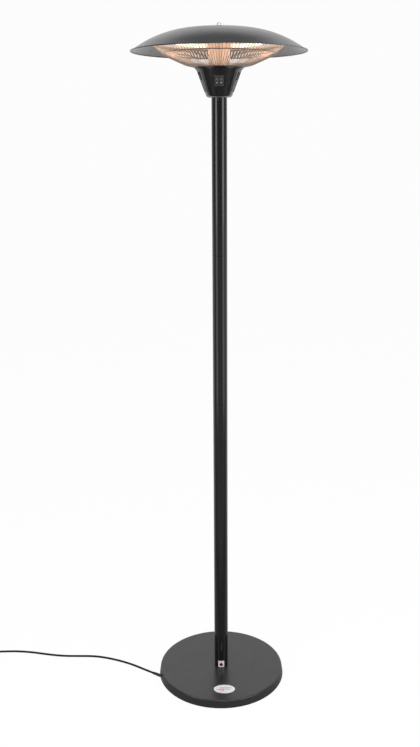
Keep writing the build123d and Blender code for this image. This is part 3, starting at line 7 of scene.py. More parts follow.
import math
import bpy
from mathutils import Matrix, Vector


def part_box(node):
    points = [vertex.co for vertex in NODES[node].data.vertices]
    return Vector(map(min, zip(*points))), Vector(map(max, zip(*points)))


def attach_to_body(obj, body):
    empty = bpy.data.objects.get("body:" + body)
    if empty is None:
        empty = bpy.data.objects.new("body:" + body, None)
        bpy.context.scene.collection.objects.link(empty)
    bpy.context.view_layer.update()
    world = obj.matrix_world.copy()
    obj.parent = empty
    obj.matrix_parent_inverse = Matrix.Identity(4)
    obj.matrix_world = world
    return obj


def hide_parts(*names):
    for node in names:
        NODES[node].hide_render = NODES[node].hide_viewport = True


bl_info = {
    "name": "Patio heater tower",
    "version": (1, 0, 0),
    "blender": (4, 5, 0),
    "location": "3D View > Sidebar > Heater",
    "description": "Dresses an infrared patio heater tower: finishes, cord, small pieces, stage and camera",
    "category": "Object",
}

import bmesh
import bpy
from bpy.props import FloatProperty, FloatVectorProperty, IntProperty, PointerProperty
from mathutils import Matrix, Vector

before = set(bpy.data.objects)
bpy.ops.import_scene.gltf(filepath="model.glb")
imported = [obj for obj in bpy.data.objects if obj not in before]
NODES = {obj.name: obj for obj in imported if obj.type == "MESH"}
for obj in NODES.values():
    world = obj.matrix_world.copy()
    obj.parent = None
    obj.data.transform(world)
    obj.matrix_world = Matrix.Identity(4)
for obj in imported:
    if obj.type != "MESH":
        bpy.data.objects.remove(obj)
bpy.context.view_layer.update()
UP = Vector((0.0, 0.0, 1.0))

# Camera
PHOTO_HEIGHT = 747              # pixels
FOCAL_PIXELS = 881.9
SENSOR = 36.0                   # mm along the frame's long side
CENTRE_OFFSET = 10.20           # pixels from the frame's middle to the optical axis
CAMERA_PLACE = (0.0, -2.6923, 1.7962)
CAMERA_PITCH = 15.099           # below the horizon
CAMERA_ROLL = -0.205
CAMERA_REACH = 60.0

# Cord: the gland's end, the straight lead and the free route, then the coil
CORD_ROUTE = (
    (-0.23418, -0.03015, 0.0120),
    (-0.25792, -0.01531, 0.0120),
    (-0.303, 0.0225, 0.0070),
    (-0.345, 0.0495, 0.0040),
    (-0.395, 0.0705, 0.0037),
    (-0.448, 0.0850, 0.0036),
    (-0.505, 0.0860, 0.0036),
    (-0.563, 0.0865, 0.0037),
    (-0.621, 0.0970, 0.0036),
    (-0.679, 0.1110, 0.0036),
    (-0.737, 0.1180, 0.0037),
    (-0.795, 0.1150, 0.0042),
    (-0.840, 0.1105, 0.0051),
    (-0.880, 0.1100, 0.0051),
)
COIL_LEAD = 0.007               # from the end of the free route to the middle of the turns
COIL_OUTER = 0.045              # radius of the outermost half turn
COIL_PITCH = 0.0077             # between neighbouring turns, and between the two layers
COIL_INWARD_TURNS = 5           # half turns in the lower layer, before the climb
COIL_OUTWARD_TURNS = 4          # half turns in the upper layer
COIL_STEPS = 9                  # points of each half turn
COIL_SPREAD = 1.012             # makes up for the curve's cut inside its points
COIL_TAIL = 0.036               # straight end, towards the plug

# Gland on the base's skirt
GLAND_EXIT = (-0.20534, -0.04816, 0.012)
GLAND_HEADING = 148.0
GLAND_NECK = 0.012              # half of the plain neck, from the skirt both ways
GLAND_RADIUS = 0.0051
GLAND_FLANGE = 0.003
GLAND_FLANGE_RADIUS = 0.0071
GLAND_FLANGE_EDGE = (0.0005, 0.0004)    # what its edges lose in radius and in length
GLAND_BORE_GAP = 0.00008        # between the sleeve and the cord
GLAND_TAPER = 0.022
GLAND_TAPER_DROP = 0.0009       # what the ribs lose in radius along the taper
GLAND_GROOVE = 0.0007           # depth between the ribs
GLAND_RIB_MARGIN = 0.001        # plain ends of the taper, before and after the ribs
GLAND_RIB_SHARES = (0.35, 0.5, 0.9)     # of the pitch: the groove's end, the rib's start and end
GLAND_TIP_RADII = (0.0042, 0.0039)      # before and after the tip's bevel
GLAND_STEPS = 40

# Plug: a round body, and a nose that the cord enters
PLUG_WAIST = (0.011, 0.0085)    # start above its foot, end below its top
PLUG_WAIST_DEPTH = 0.0008
PLUG_GRIP_ROWS = (5, 6)         # rows of its outline that the grip's grooves bend
PLUG_GRIP_GROOVES = 28
PLUG_GRIP_DEPTH = 0.0006
PLUG_STEPS = 112
NOSE_HEIGHT = 0.0128            # of the cord's middle where it enters
NOSE_REACH = 0.022              # of the nose past the body's side
NOSE_LENGTH = 0.030
NOSE_RIBS = 6
NOSE_RIB_PITCH = 0.0036
NOSE_SPREAD = 0.0002            # what each rib adds in radius to the one before it
NOSE_STEPS = 36
EARTH_SECTION = (0.0046, 0.0012, 0.0003)    # width, depth and corner of an earth strip
EARTH_INSET = 0.0019            # from the plug's side to the middle of the strip
EARTH_ENDS = (0.013, 0.0001)    # how far the strip's ends are below the plug's top

# Switch pad on the housing's cone
PAD_HEIGHT = 1.947
PAD_SLOPE = 20.703
PAD_CONE = 0.0528948            # radius of the cone behind its middle
PAD_STAND = 0.0012              # how far its face stands out of the cone
ROCKER_SPACING = 0.012
ROCKER_RISE = 0.0034            # of the crease out of the pad
ROCKER_REACH = 0.0049           # from the crease to the marks
ROCKER_PIVOT_DEPTH = 0.0026     # below the pad's face
ROCKER_TILT = 8.0
MARK_BAR = (0.0006, 0.0032, 0.0002)     # width, length and corner
MARK_RING = (0.0011, 0.0016)    # inner and outer radius
MARK_STEPS = 36

# Bars on the oval badge: x, y from its middle, length, width
BADGE_BARS = {
    "bar orange": ((-0.0125, -0.0035, 0.026, 0.0046), (-0.0085, -0.0105, 0.014, 0.0034)),
    "bar grey": ((0.004, 0.0052, 0.040, 0.0036), (0.0125, -0.0045, 0.014, 0.0026)),
}

# Dark screens behind the housing's vents: painted shade that stands in for the dark inside of the housing
HOUSING_BOTTOM = 1.903
HOUSING_FOOT = 0.0338           # inner radius of the cone at its bottom
HOUSING_FLARE = 0.0302 / 0.080
SCREEN_HEIGHTS = (1.949, 1.975)
SCREEN_TURNS = (-25.3, 28.5)    # from the side, towards the back
SCREEN_GAPS = (0.0006, 0.0010)  # of its two faces from the cone's inside
SCREEN_STEPS = 24

# Lamps
LAMP_CIRCLE = 0.128             # radius that both bent lamps follow
LAMP_HEIGHT = 2.056
LAMP_ARC = 150.0                # of each lamp's filament
FILAMENT_WIRE = 0.00022         # radius of the wire
FILAMENT_COIL = 0.00098         # radius of its turns
FILAMENT_STEPS = 9              # rings of points in each turn
GLOW_COUNT = 12                 # small lights in a ring below the lamps
GLOW_DROP = 0.020
GLOW_ENERGY = 0.05
GLOW_RADIUS = 0.012
GLOW_COLOUR = (1.0, 0.58, 0.38)

# Finishes
BLACK = (0.0, 0.0, 0.0, 1.0)
WHITE = (1.0, 1.0, 1.0, 1.0)
DUST_COLOUR = (0.34, 0.33, 0.31, 1.0)
COAT_ROUGHNESS = 0.05
SCUFF_ROUGHNESS = 0.22          # what a full scuff adds to the roughness
BUMP_STRENGTH = 0.6
GRAIN_SHARE = 0.35              # of a lighter tone in the grain
SCUFF_SHARE = 0.3               # and in the scuffs
CLOUD_ENDS = (0.35, 0.65)       # parts of the noises that count as none and as full
DUST_ENDS = (0.4, 0.75)
SCUFF_ENDS = (0.5, 0.72)
DUST_TURN = (0.3, 1.0)          # upward part of the normal of a face that gathers dust
QUARTZ_IOR = 1.46
SLEEVE_RELIEF = 0.0003
PAINTED_LIGHT_UNDERSIDE = (-0.85, -0.7)       # upward part of the normal of a face that looks down and gets painted lamp light
AXIS_TURN = (-0.04, 0.0)        # outward part of the normal, times the radius, towards the axis
PAINTED_SHEEN_TURN = (0.32, 0.65)         # how far a face turns away where its painted sheen starts and is full

# Studio. The levels say how bright glossy finishes see the room.
FRONT_LEVEL = 0.13              # the room and the floor in front of the heater
FAR_FRONT_LEVEL = 0.36          # the floor some way in front of it
CEILING_LEVEL = 0.38            # the room high up, as a share
FLOOR_FADES = ((-0.3, 0.9), (-0.9, -0.35))      # where its levels change, along y: behind, in front
ROOM_FADES = ((-0.1, 0.8), (0.5, 0.75))         # directions where the room's levels change: y, z
FLOOR_COLOUR = (0.9, 0.9, 0.9, 1.0)
FLOOR_SHARE = 0.95              # of plain white in what the camera sees of the floor
FLOOR_DROP = 0.0006             # below the heater's feet
FLOOR_SIDE = 16.0               # half of its width
FLOOR_FRONT = -14.0
FLOOR_BACK = 9.0                # where it starts to bend up
WALL_BEND = 3.0
WALL_BEND_STEPS = 12
WALL_TOP = 14.0
ROOM_COLOUR = (0.98, 0.99, 1.0, 1.0)
ROOM_STRENGTH = 0.55
SIDE_LIGHT_DISTANCE = 2.7       # from the pole
SIDE_LIGHTS = ((-1, 47.0, 1.2, 33.0), (1, 57.0, 1.5, 40.0))     # side, bearing, width, power
SIDE_LIGHT_PARTS = (("strip_high", 2.5, 2.4, 1.0),              # height, length, share of the power
                    ("strip_low", 0.7, 1.2, 0.2))
OVERHEAD_PLACE = (0.3, -2.2, 4.2)
OVERHEAD_TARGET = (0.0, 0.0, 0.8)
OVERHEAD_SIZE = (2.4, 2.4)
OVERHEAD_POWER = 60.0


class HeaterColours(bpy.types.PropertyGroup):
    """Colours of the heater's finishes."""

    dome: FloatVectorProperty(name="Dome", description="Powder coat of the dome", subtype="COLOR",
                              size=3, min=0.0, max=1.0, default=(0.020, 0.020, 0.0205))
    base: FloatVectorProperty(name="Base", description="Textured coat of the base", subtype="COLOR",
                              size=3, min=0.0, max=1.0, default=(0.015, 0.015, 0.016))
    pole: FloatVectorProperty(name="Pole", description="Glossy coat of the pole", subtype="COLOR",
                              size=3, min=0.0, max=1.0, default=(0.007, 0.007, 0.0075))
    housing: FloatVectorProperty(name="Housing", description="Plastic of the switch housing",
                                 subtype="COLOR", size=3, min=0.0, max=1.0, default=(0.009, 0.009, 0.010))
    glow: FloatVectorProperty(name="Glow", description="Light of the lamps", subtype="COLOR",
                              size=3, min=0.0, max=1.0, default=(1.0, 0.36, 0.12))


class HeaterSizes(bpy.types.PropertyGroup):
    """Sizes of the pieces that are added to the solids."""

    cord_diameter: FloatProperty(name="Cord diameter", description="Outside of the mains lead",
                                 subtype="DISTANCE", default=0.007, min=0.004, max=0.012)
    relief_ribs: IntProperty(name="Relief ribs", description="Ribs of the strain relief",
                             default=5, min=0, max=12)
    filament_turns: IntProperty(name="Filament turns", description="Turns of each lamp's filament",
                                default=84, min=12, max=200)
    mark_height: FloatProperty(name="Mark height", description="How far the printed marks stand proud",
                               subtype="DISTANCE", default=0.00008, min=0.00002, max=0.0005)
    lamp_strength: FloatProperty(name="Lamp strength", description="How strongly the lamps glow",
                                 default=2.4, min=0.0, max=50.0)


# Mesh helpers

def new_object(name, data):
    """An object in the scene that holds a mesh, a curve, a light or a camera."""
    made = bpy.data.objects.new(name, data)
    bpy.context.scene.collection.objects.link(made)
    return made


def mesh_piece(name, build, smooth=True):
    """A new piece whose mesh is made by build, which gets an empty bmesh."""
    work = bmesh.new()
    build(work)
    bmesh.ops.recalc_face_normals(work, faces=work.faces)
    mesh = bpy.data.meshes.new(name)
    work.to_mesh(mesh)
    work.free()
    for face in mesh.polygons:
        face.use_smooth = smooth
    return new_object(name, mesh)


def sharp_where(piece, angle):
    """Keeps edges sharp where the faces beside them turn by more than an angle."""
    work = bmesh.new()
    work.from_mesh(piece.data)
    for edge in work.edges:
        edge.smooth = len(edge.link_faces) == 2 and edge.calc_face_angle(0.0) < math.radians(angle)
    work.to_mesh(piece.data)
    work.free()
    return piece


def join_rings(work, low, high):
    """Faces between two rings that have as many points each."""
    for step in range(len(low)):
        after = (step + 1) % len(low)
        work.faces.new((low[step], low[after], high[after], high[step]))


def lathe(work, outline, steps, place, wave=None):
    """Spins an outline of (radius, height) pairs about z; wave gives a radius for each angle and row."""
    rows = []
    for row, (radius, height) in enumerate(outline):
        ring = []
        for step in range(steps):
            turn = math.tau * step / steps
            reach = wave(radius, turn, row) if wave else radius
            point = Vector((reach * math.cos(turn), reach * math.sin(turn), height))
            ring.append(work.verts.new(place @ point))
        rows.append(ring)
    for low, high in zip(rows, rows[1:]):
        join_rings(work, low, high)
    return rows


def closed_lathe(work, outline, steps, place):
    """Spins an outline whose last point joins up with its first."""
    rows = lathe(work, outline, steps, place)
    join_rings(work, rows[-1], rows[0])


def slab(work, outline, low, high, place):
    """A flat piece between two heights with an outline of (x, y) pairs."""
    under = [work.verts.new(place @ Vector((x, y, low))) for x, y in outline]
    over = [work.verts.new(place @ Vector((x, y, high))) for x, y in outline]
    work.faces.new(under[::-1])
    work.faces.new(over)
    join_rings(work, under, over)


def rounded_box(length, width, corner, steps):
    """Points of a rectangle with rounded corners, anticlockwise."""
    points = []
    for turn, (sx, sy) in enumerate(((1, 1), (-1, 1), (-1, -1), (1, -1))):
        for step in range(steps + 1):
            angle = math.pi / 2 * (turn + step / steps)
            points.append((sx * (length / 2 - corner) + corner * math.cos(angle),
                           sy * (width / 2 - corner) + corner * math.sin(angle)))
    return points


def axes_place(origin, x, y, z):
    """A frame at origin with these three axes."""
    return Matrix.Translation(origin) @ Matrix((x, y, z)).transposed().to_4x4()


def axis_place(origin, direction):
    """A frame at origin whose z runs along direction and whose y is as near upright as it can be."""
    z = Vector(direction).normalized()
    x = UP.cross(z).normalized()
    return axes_place(origin, x, z.cross(x), z)


def attach(piece, body, slot, material, *nodes):
    """Gives a new piece its material and its body, and hides the nodes it stands for. slot is not used."""
    piece.data.materials.append(material)
    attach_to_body(piece, body)
    if nodes:
        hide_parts(*nodes)
    return piece


def dress(material, *names):
    """Gives CAD nodes a material."""
    for name in names:
        for holder in NODES[name].material_slots:
            holder.material = material


# Shader helpers

def node(tree, kind, **values):
    """A node with its properties set, and inputs set by name where they exist."""
    made = tree.nodes.new(kind)
    for key, value in values.items():
        if hasattr(made, key) and key not in made.inputs:
            setattr(made, key, value)
        else:
            made.inputs[key.replace("_", " ")].default_value = value
    return made


def group_node(tree, name, **values):
    """A shader group placed in a material, with its inputs set by name."""
    return node(tree, "ShaderNodeGroup", node_tree=bpy.data.node_groups[name], **values)


def split(tree, place):
    """The x, y and z of a place, by name."""
    parts = node(tree, "ShaderNodeSeparateXYZ")
    tree.links.new(place, parts.inputs[0])
    return parts.outputs


def faded(tree, value, low, high, ends=(0.0, 1.0)):
    """A level that runs from low to high while a value runs between two ends."""
    fade = node(tree, "ShaderNodeMapRange", From_Min=ends[0], From_Max=ends[1], To_Min=low, To_Max=high)
    tree.links.new(value, fade.inputs["Value"])
    return fade.outputs["Result"]


def combined(tree, operation, first, second, clamp=False):
    """The result of a sum with two output sockets, kept within 0 and 1 where it is clamped."""
    both = node(tree, "ShaderNodeMath", operation=operation, use_clamp=clamp)
    tree.links.new(first, both.inputs[0])
    tree.links.new(second, both.inputs[1])
    return both.outputs[0]


def mixed(tree, factor, low, high):
    """A colour between two, each a plain colour or an output socket."""
    mix = node(tree, "ShaderNodeMix", data_type="RGBA")
    tree.links.new(factor, mix.inputs[0])
    for socket, value in ((mix.inputs[6], low), (mix.inputs[7], high)):
        if isinstance(value, bpy.types.NodeSocket):
            tree.links.new(value, socket)
        else:
            socket.default_value = value
    return mix.outputs[2]


def relief_on(tree, height, distance, strength=1.0):
    """Lets a height raise a material's surface by a distance."""
    relief = node(tree, "ShaderNodeBump", Strength=strength, Distance=distance)
    tree.links.new(height, relief.inputs["Height"])
    tree.links.new(relief.outputs["Normal"], tree.nodes["Principled BSDF"].inputs["Normal"])


def sized_noise(tree, size, detail, roughness):
    """Noise on an object's own coordinates, with grains of the size that a socket gives."""
    place = node(tree, "ShaderNodeTexCoord")
    noise = node(tree, "ShaderNodeTexNoise", Detail=detail, Roughness=roughness)
    scale = node(tree, "ShaderNodeMath", operation="DIVIDE")
    scale.inputs[0].default_value = 1.0
    tree.links.new(size, scale.inputs[1])
    tree.links.new(scale.outputs[0], noise.inputs["Scale"])
    tree.links.new(place.outputs["Object"], noise.inputs["Vector"])
    return noise.outputs["Fac"]


# Shader groups

def new_group(name, inputs, outputs):
    """An empty shader group; inputs are pairs of a name and a value, outputs are names of values."""
    tree = bpy.data.node_groups.new(name, "ShaderNodeTree")
    for label, value in inputs:
        socket = tree.interface.new_socket(label, in_out="INPUT", socket_type="NodeSocketFloat")
        socket.default_value = value
    for label in outputs:
        tree.interface.new_socket(label, in_out="OUTPUT", socket_type="NodeSocketFloat")
    return tree, node(tree, "NodeGroupInput").outputs, node(tree, "NodeGroupOutput").inputs


def grain_group():
    """Fine even grain of a sprayed or moulded surface: a height for bumps, a mask and broad clouds."""
    tree, source, result = new_group(
        "Fine grain", (("Size", 0.0008), ("Cloud size", 0.06)), ("Height", "Mask", "Cloud"))
    fine = sized_noise(tree, source["Size"], 3.0, 0.6)
    broad = sized_noise(tree, source["Cloud size"], 4.0, 0.55)
    tree.links.new(fine, result["Height"])
    tree.links.new(fine, result["Mask"])
    tree.links.new(faded(tree, broad, 0.0, 1.0, CLOUD_ENDS), result["Cloud"])


def dust_group():
    """Dust that gathers on faces that look up, broken by noise."""
    tree, source, result = new_group("Dust", (("Amount", 0.2), ("Patch size", 0.02)), ("Mask",))
    place = node(tree, "ShaderNodeTexCoord")
    upward = faded(tree, split(tree, place.outputs["Normal"])["Z"], 0.0, 1.0, DUST_TURN)
    patches = faded(tree, sized_noise(tree, source["Patch size"], 5.0, 0.6), 0.0, 1.0, DUST_ENDS)
    film = combined(tree, "MULTIPLY", upward, patches)
    tree.links.new(combined(tree, "MULTIPLY", film, source["Amount"], clamp=True), result["Mask"])


def scuff_group():
    """Thin scuffs that run along z: a mask."""
    tree, source, result = new_group(
        "Scuffs", (("Across", 900.0), ("Along", 6.0), ("Amount", 0.5)), ("Mask",))
    place = node(tree, "ShaderNodeTexCoord")
    parts = split(tree, place.outputs["Object"])
    joined = node(tree, "ShaderNodeCombineXYZ")
    for axis, label in (("X", "Across"), ("Y", "Across"), ("Z", "Along")):
        tree.links.new(combined(tree, "MULTIPLY", parts[axis], source[label]), joined.inputs[axis])
    noise = node(tree, "ShaderNodeTexNoise", Detail=3.0, Roughness=0.7, Scale=1.0)
    tree.links.new(joined.outputs[0], noise.inputs["Vector"])
    lines = faded(tree, noise.outputs["Fac"], 0.0, 1.0, SCUFF_ENDS)
    tree.links.new(combined(tree, "MULTIPLY", lines, source["Amount"], clamp=True), result["Mask"])


# Materials

def facing_axis(tree):
    """1 where a face looks at the heater's upright axis, 0 where it looks away."""
    face = node(tree, "ShaderNodeNewGeometry")
    outwards = node(tree, "ShaderNodeVectorMath", operation="MULTIPLY")
    outwards.inputs[1].default_value = (1.0, 1.0, 0.0)
    tree.links.new(face.outputs["Position"], outwards.inputs[0])
    away = node(tree, "ShaderNodeVectorMath", operation="DOT_PRODUCT")
    tree.links.new(outwards.outputs["Vector"], away.inputs[0])
    tree.links.new(face.outputs["Normal"], away.inputs[1])
    return faded(tree, away.outputs["Value"], 1.0, 0.0, AXIS_TURN)


def shaded(colour, share):
    """A colour made lighter or darker by a share."""
    return tuple(min(1.0, channel * share) for channel in colour[:3]) + (1.0,)


def give_glow(shader, colour, strength=1.0):
    """Lets a material give off light of one colour."""
    shader.inputs["Emission Color"].default_value = (*colour, 1.0)
    shader.inputs["Emission Strength"].default_value = strength


def surface(name, colour, roughness, metallic=0.0, grain=0.0008, bump=0.0, cloud=0.06, shade=0.08,
            rough_shift=0.06, dust=0.0, scuffs=None, specular=0.5, coat=0.0, painted_glow=None,
            painted_inner_glow=None, under=None, rim=None):
    """A finish with fine grain and broad changes of shade and gloss.

    scuffs holds their scale across and along z and their amount. painted_glow is lamp light painted as a
    glow on all of the piece, painted_inner_glow the same on the faces that look at the axis. under is a
    lighter colour painted on faces that look down, for lamp light on the underside, and rim is a painted
    sheen, a lighter colour on faces seen at a low angle.
    """
    made = bpy.data.materials.new(name)
    made.use_nodes = True
    tree = made.node_tree
    shader = tree.nodes["Principled BSDF"]
    shader.inputs["Metallic"].default_value = metallic
    shader.inputs["Specular IOR Level"].default_value = specular
    shader.inputs["Coat Weight"].default_value = coat
    shader.inputs["Coat Roughness"].default_value = COAT_ROUGHNESS
    # Painted glow: an emission that stands in for lamp light on the piece, all over or on the faces that
    # look at the axis.
    if painted_glow:
        give_glow(shader, painted_glow)
    if painted_inner_glow:
        lit = mixed(tree, facing_axis(tree), BLACK, (*painted_inner_glow, 1.0))
        tree.links.new(lit, shader.inputs["Emission Color"])
        shader.inputs["Emission Strength"].default_value = 1.0
    fine = group_node(tree, "Fine grain", Size=grain, Cloud_size=cloud).outputs
    tone = mixed(tree, fine["Cloud"], shaded(colour, 1 - shade), shaded(colour, 1 + shade))
    tone = mixed(tree, faded(tree, fine["Mask"], 0.0, GRAIN_SHARE), tone, shaded(colour, 1 + 2 * shade))
    gloss = faded(tree, fine["Cloud"], roughness - rough_shift, roughness + rough_shift)
    if scuffs:
        across, along, amount = scuffs
        lines = group_node(tree, "Scuffs", Across=across, Along=along, Amount=amount).outputs["Mask"]
        rub = faded(tree, lines, 0.0, SCUFF_ROUGHNESS)
        gloss = combined(tree, "ADD", rub, gloss)
        tone = mixed(tree, faded(tree, lines, 0.0, SCUFF_SHARE), tone, shaded(colour, 1 + 4 * shade))
    if dust:
        film = group_node(tree, "Dust", Amount=dust)
        tone = mixed(tree, film.outputs["Mask"], tone, DUST_COLOUR)
    # Painted light: faces that look down get a lighter colour, standing in for the lamps' glow on the
    # underside.
    if under:
        upward = split(tree, node(tree, "ShaderNodeNewGeometry").outputs["Normal"])["Z"]
        tone = mixed(tree, faded(tree, upward, 1.0, 0.0, PAINTED_LIGHT_UNDERSIDE), tone, (*under, 1.0))
    # Painted sheen: faces seen at a low angle get a lighter colour.
    if rim:
        turned = node(tree, "ShaderNodeLayerWeight", Blend=0.5).outputs["Facing"]
        tone = mixed(tree, faded(tree, turned, 0.0, 1.0, PAINTED_SHEEN_TURN), tone, (*rim, 1.0))
    tree.links.new(tone, shader.inputs["Base Color"])
    tree.links.new(gloss, shader.inputs["Roughness"])
    if bump:
        relief_on(tree, fine["Height"], bump, BUMP_STRENGTH)
    return made


def glowing(name, colour, strength, emission):
    """A finish that gives off light."""
    made = surface(name, colour, 0.4, shade=0.05)
    give_glow(made.node_tree.nodes["Principled BSDF"], emission, strength)
    return made


def quartz(name, colour, emission, strength):
    """Clear glass with a faint glow, and a slight change of gloss along it."""
    made = surface(name, colour, 0.06, shade=0.02, rough_shift=0.03, grain=0.004)
    shader = made.node_tree.nodes["Principled BSDF"]
    shader.inputs["Transmission Weight"].default_value = 1.0
    shader.inputs["IOR"].default_value = QUARTZ_IOR
    give_glow(shader, emission, strength)
    return made


def sleeve(name, colour):
    """Woven sleeve of a lamp lead: fine crossing threads."""
    made = surface(name, colour, 0.75, grain=0.0006, shade=0.12)
    tree = made.node_tree
    place = node(tree, "ShaderNodeTexCoord")
    weave = node(tree, "ShaderNodeTexWave", wave_type="BANDS", bands_direction="DIAGONAL",
                 Scale=700.0, Distortion=2.0)
    tree.links.new(place.outputs["Object"], weave.inputs["Vector"])
    relief_on(tree, weave.outputs["Fac"], SLEEVE_RELIEF)
    return made


FINISHES = {}


def make_finishes(colours, sizes):
    """Every finish of the heater, by name."""
    grain_group()
    dust_group()
    scuff_group()
    FINISHES.update({
        # The dome's under colour is painted lamp light on its underside.
        "dome": surface("Dome powder coat", colours.dome, 0.26, grain=0.0011, bump=0.00006, cloud=0.09,
                        shade=0.06, rough_shift=0.02, dust=0.03, specular=0.62,
                        under=(0.083, 0.081, 0.080)),
        "base": surface("Base satin coat", colours.base, 0.32, grain=0.0013, bump=0.00005, cloud=0.07,
                        shade=0.06, rough_shift=0.02, dust=0.03, specular=0.78),
        "pole": surface("Pole gloss coat", colours.pole, 0.16, grain=0.0012, cloud=0.3,
                        rough_shift=0.015, scuffs=(420.0, 9.0, 0.08)),
        # The housing's rim colour is a painted sheen along its outline.
        "housing": surface("Housing gloss plastic", colours.housing, 0.26, grain=0.0009, bump=0.00005,
                           cloud=0.03, rough_shift=0.05, specular=0.2, rim=(0.19, 0.19, 0.20)),
        "switch": surface("Switch plastic", (0.042, 0.042, 0.044), 0.36, grain=0.0005, bump=0.00003,
                          cloud=0.01),
        # The guard's warm tint and its inner glow are painted lamp light, not the plating's own colour.
        "chrome": surface("Guard plating", (0.40, 0.34, 0.29), 0.42, metallic=1.0, grain=0.002,
                          cloud=0.05, scuffs=(300.0, 80.0, 0.3), painted_inner_glow=(0.9, 0.74, 0.6)),
        "ring": surface("Ring plating", (0.15, 0.13, 0.12), 0.36, metallic=1.0, grain=0.002,
                        cloud=0.05, scuffs=(300.0, 80.0, 0.3)),
        # The column's warm tint and its glow are painted lamp light, not the steel's own colour.
        "column": surface("Column polished steel", (0.34, 0.28, 0.24), 0.45, metallic=1.0, cloud=0.03,
                          shade=0.03, rough_shift=0.04, scuffs=(900.0, 14.0, 0.3),
                          painted_glow=(0.33, 0.21, 0.145)),
        # The reflector's glow is painted lamp light.
        "reflector": surface("Reflector aluminium", (0.60, 0.58, 0.55), 0.27, metallic=1.0, grain=0.006,
                             bump=0.0002, cloud=0.05, shade=0.03, rough_shift=0.05,
                             painted_glow=(0.24, 0.14, 0.09)),
        "bright steel": surface("Bright plating", (0.82, 0.82, 0.83), 0.16, metallic=1.0, cloud=0.01,
                                shade=0.04, rough_shift=0.04),
        "plated": surface("Zinc plating", (0.56, 0.56, 0.57), 0.34, metallic=1.0, grain=0.0015,
                          bump=0.00004, cloud=0.02, shade=0.1, rough_shift=0.08,
                          scuffs=(500.0, 40.0, 0.35)),
        "dark steel": surface("Blackened steel", (0.07, 0.07, 0.075), 0.38, metallic=1.0, grain=0.0008,
                              bump=0.00005, cloud=0.008, shade=0.15),
        "iron": surface("Ballast casting", (0.16, 0.16, 0.16), 0.72, metallic=0.6, grain=0.003, bump=0.0009,
                        cloud=0.03, shade=0.2),
        "lock plate": surface("Lock plate enamel", (0.78, 0.62, 0.62), 0.36, grain=0.0006, bump=0.00004,
                              cloud=0.01, shade=0.05),
        "badge": surface("Badge enamel", (0.72, 0.72, 0.73), 0.2, grain=0.001, cloud=0.02, shade=0.02,
                         coat=0.5),
        "bar orange": surface("Badge bar, orange", (0.78, 0.24, 0.10), 0.3, cloud=0.01, shade=0.06),
        "bar grey": surface("Badge bar, grey", (0.22, 0.27, 0.32), 0.3, cloud=0.01, shade=0.06),
        "mark": surface("Printed mark", (0.72, 0.72, 0.72), 0.5, grain=0.0004, cloud=0.004, shade=0.06),
        "rubber": surface("Moulded rubber", (0.02, 0.02, 0.021), 0.62, grain=0.0007, bump=0.00006,
                          cloud=0.01, shade=0.15, specular=0.35),
        "cord": surface("Cord rubber", (0.006, 0.006, 0.0065), 0.5, grain=0.0009, bump=0.00004, cloud=0.03,
                        shade=0.15, dust=0.02, specular=0.2),
        "plug": surface("Plug rubber", (0.017, 0.017, 0.018), 0.55, grain=0.0006, bump=0.00007, cloud=0.01,
                        shade=0.12, specular=0.35),
        "pins": surface("Nickelled brass", (0.74, 0.70, 0.60), 0.24, metallic=1.0, cloud=0.006, shade=0.06,
                        scuffs=(800.0, 120.0, 0.5)),
        "ceramic": surface("Lamp ceramic", (0.80, 0.76, 0.68), 0.7, grain=0.0009, bump=0.0001, cloud=0.01,
                           shade=0.06),
        "pale plastic": surface("Terminal plastic", (0.74, 0.72, 0.66), 0.5, cloud=0.01, bump=0.00003),
        "dark plastic": surface("Dark moulding", (0.03, 0.03, 0.031), 0.48, cloud=0.01, bump=0.00005),
        "sleeve": sleeve("Lead sleeve", (0.62, 0.58, 0.50)),
        "quartz": quartz("Lamp quartz", (1.0, 0.90, 0.82), (1.0, 0.76, 0.60), 0.28),
        "filament": glowing("Lamp filament", (1.0, 0.5, 0.2), sizes.lamp_strength, colours.glow),
    })


# Solids that keep their own shape, by finish
DRESSED = {
    "dome": ("dome",),
    "base": ("base_cover",),
    "pole": ("pole_section_1", "pole_section_2", "pole_section_3", "pole_section_4"),
    "housing": ("housing",),
    "switch": ("switch_bezel", "switch_body_left", "switch_body_right", "rocker_left", "rocker_right"),
    "chrome": ("guard_wires",),
    "ring": ("guard_inner_ring", "guard_middle_ring", "guard_outer_ring"),
    "column": ("column",),
    "reflector": ("reflector",),
    "plated": ("base_plate", "base_screws", "pole_socket", "socket_bolts", "cord_clamp_screws",
               "joint_sleeves", "head_socket", "flange_screws", "stem", "stem_nuts", "bracket",
               "shield_screws", "lamp_straps", "lamp_clips", "guard_clips"),
    "dark steel": ("lock_screw", "head_screw", "heat_shield"),
    "bright steel": ("dome_washer", "cap_nut"),
    "iron": ("base_weight",),
    "lock plate": ("lock_plate",),
    "badge": ("badge",),
    "rubber": ("rubber_feet",),
    "cord": ("supply_cable",),
    "pins": ("plug_pins",),
    "ceramic": ("lamp_holders",),
    "pale plastic": ("terminal_block",),
    "dark plastic": ("cord_clamp", "tip_switch", "thermal_cutout", "coil_tie"),
    "sleeve": ("switch_leads", "lamp_leads"),
    "quartz": ("lamp_left", "lamp_right"),
}


# Pieces

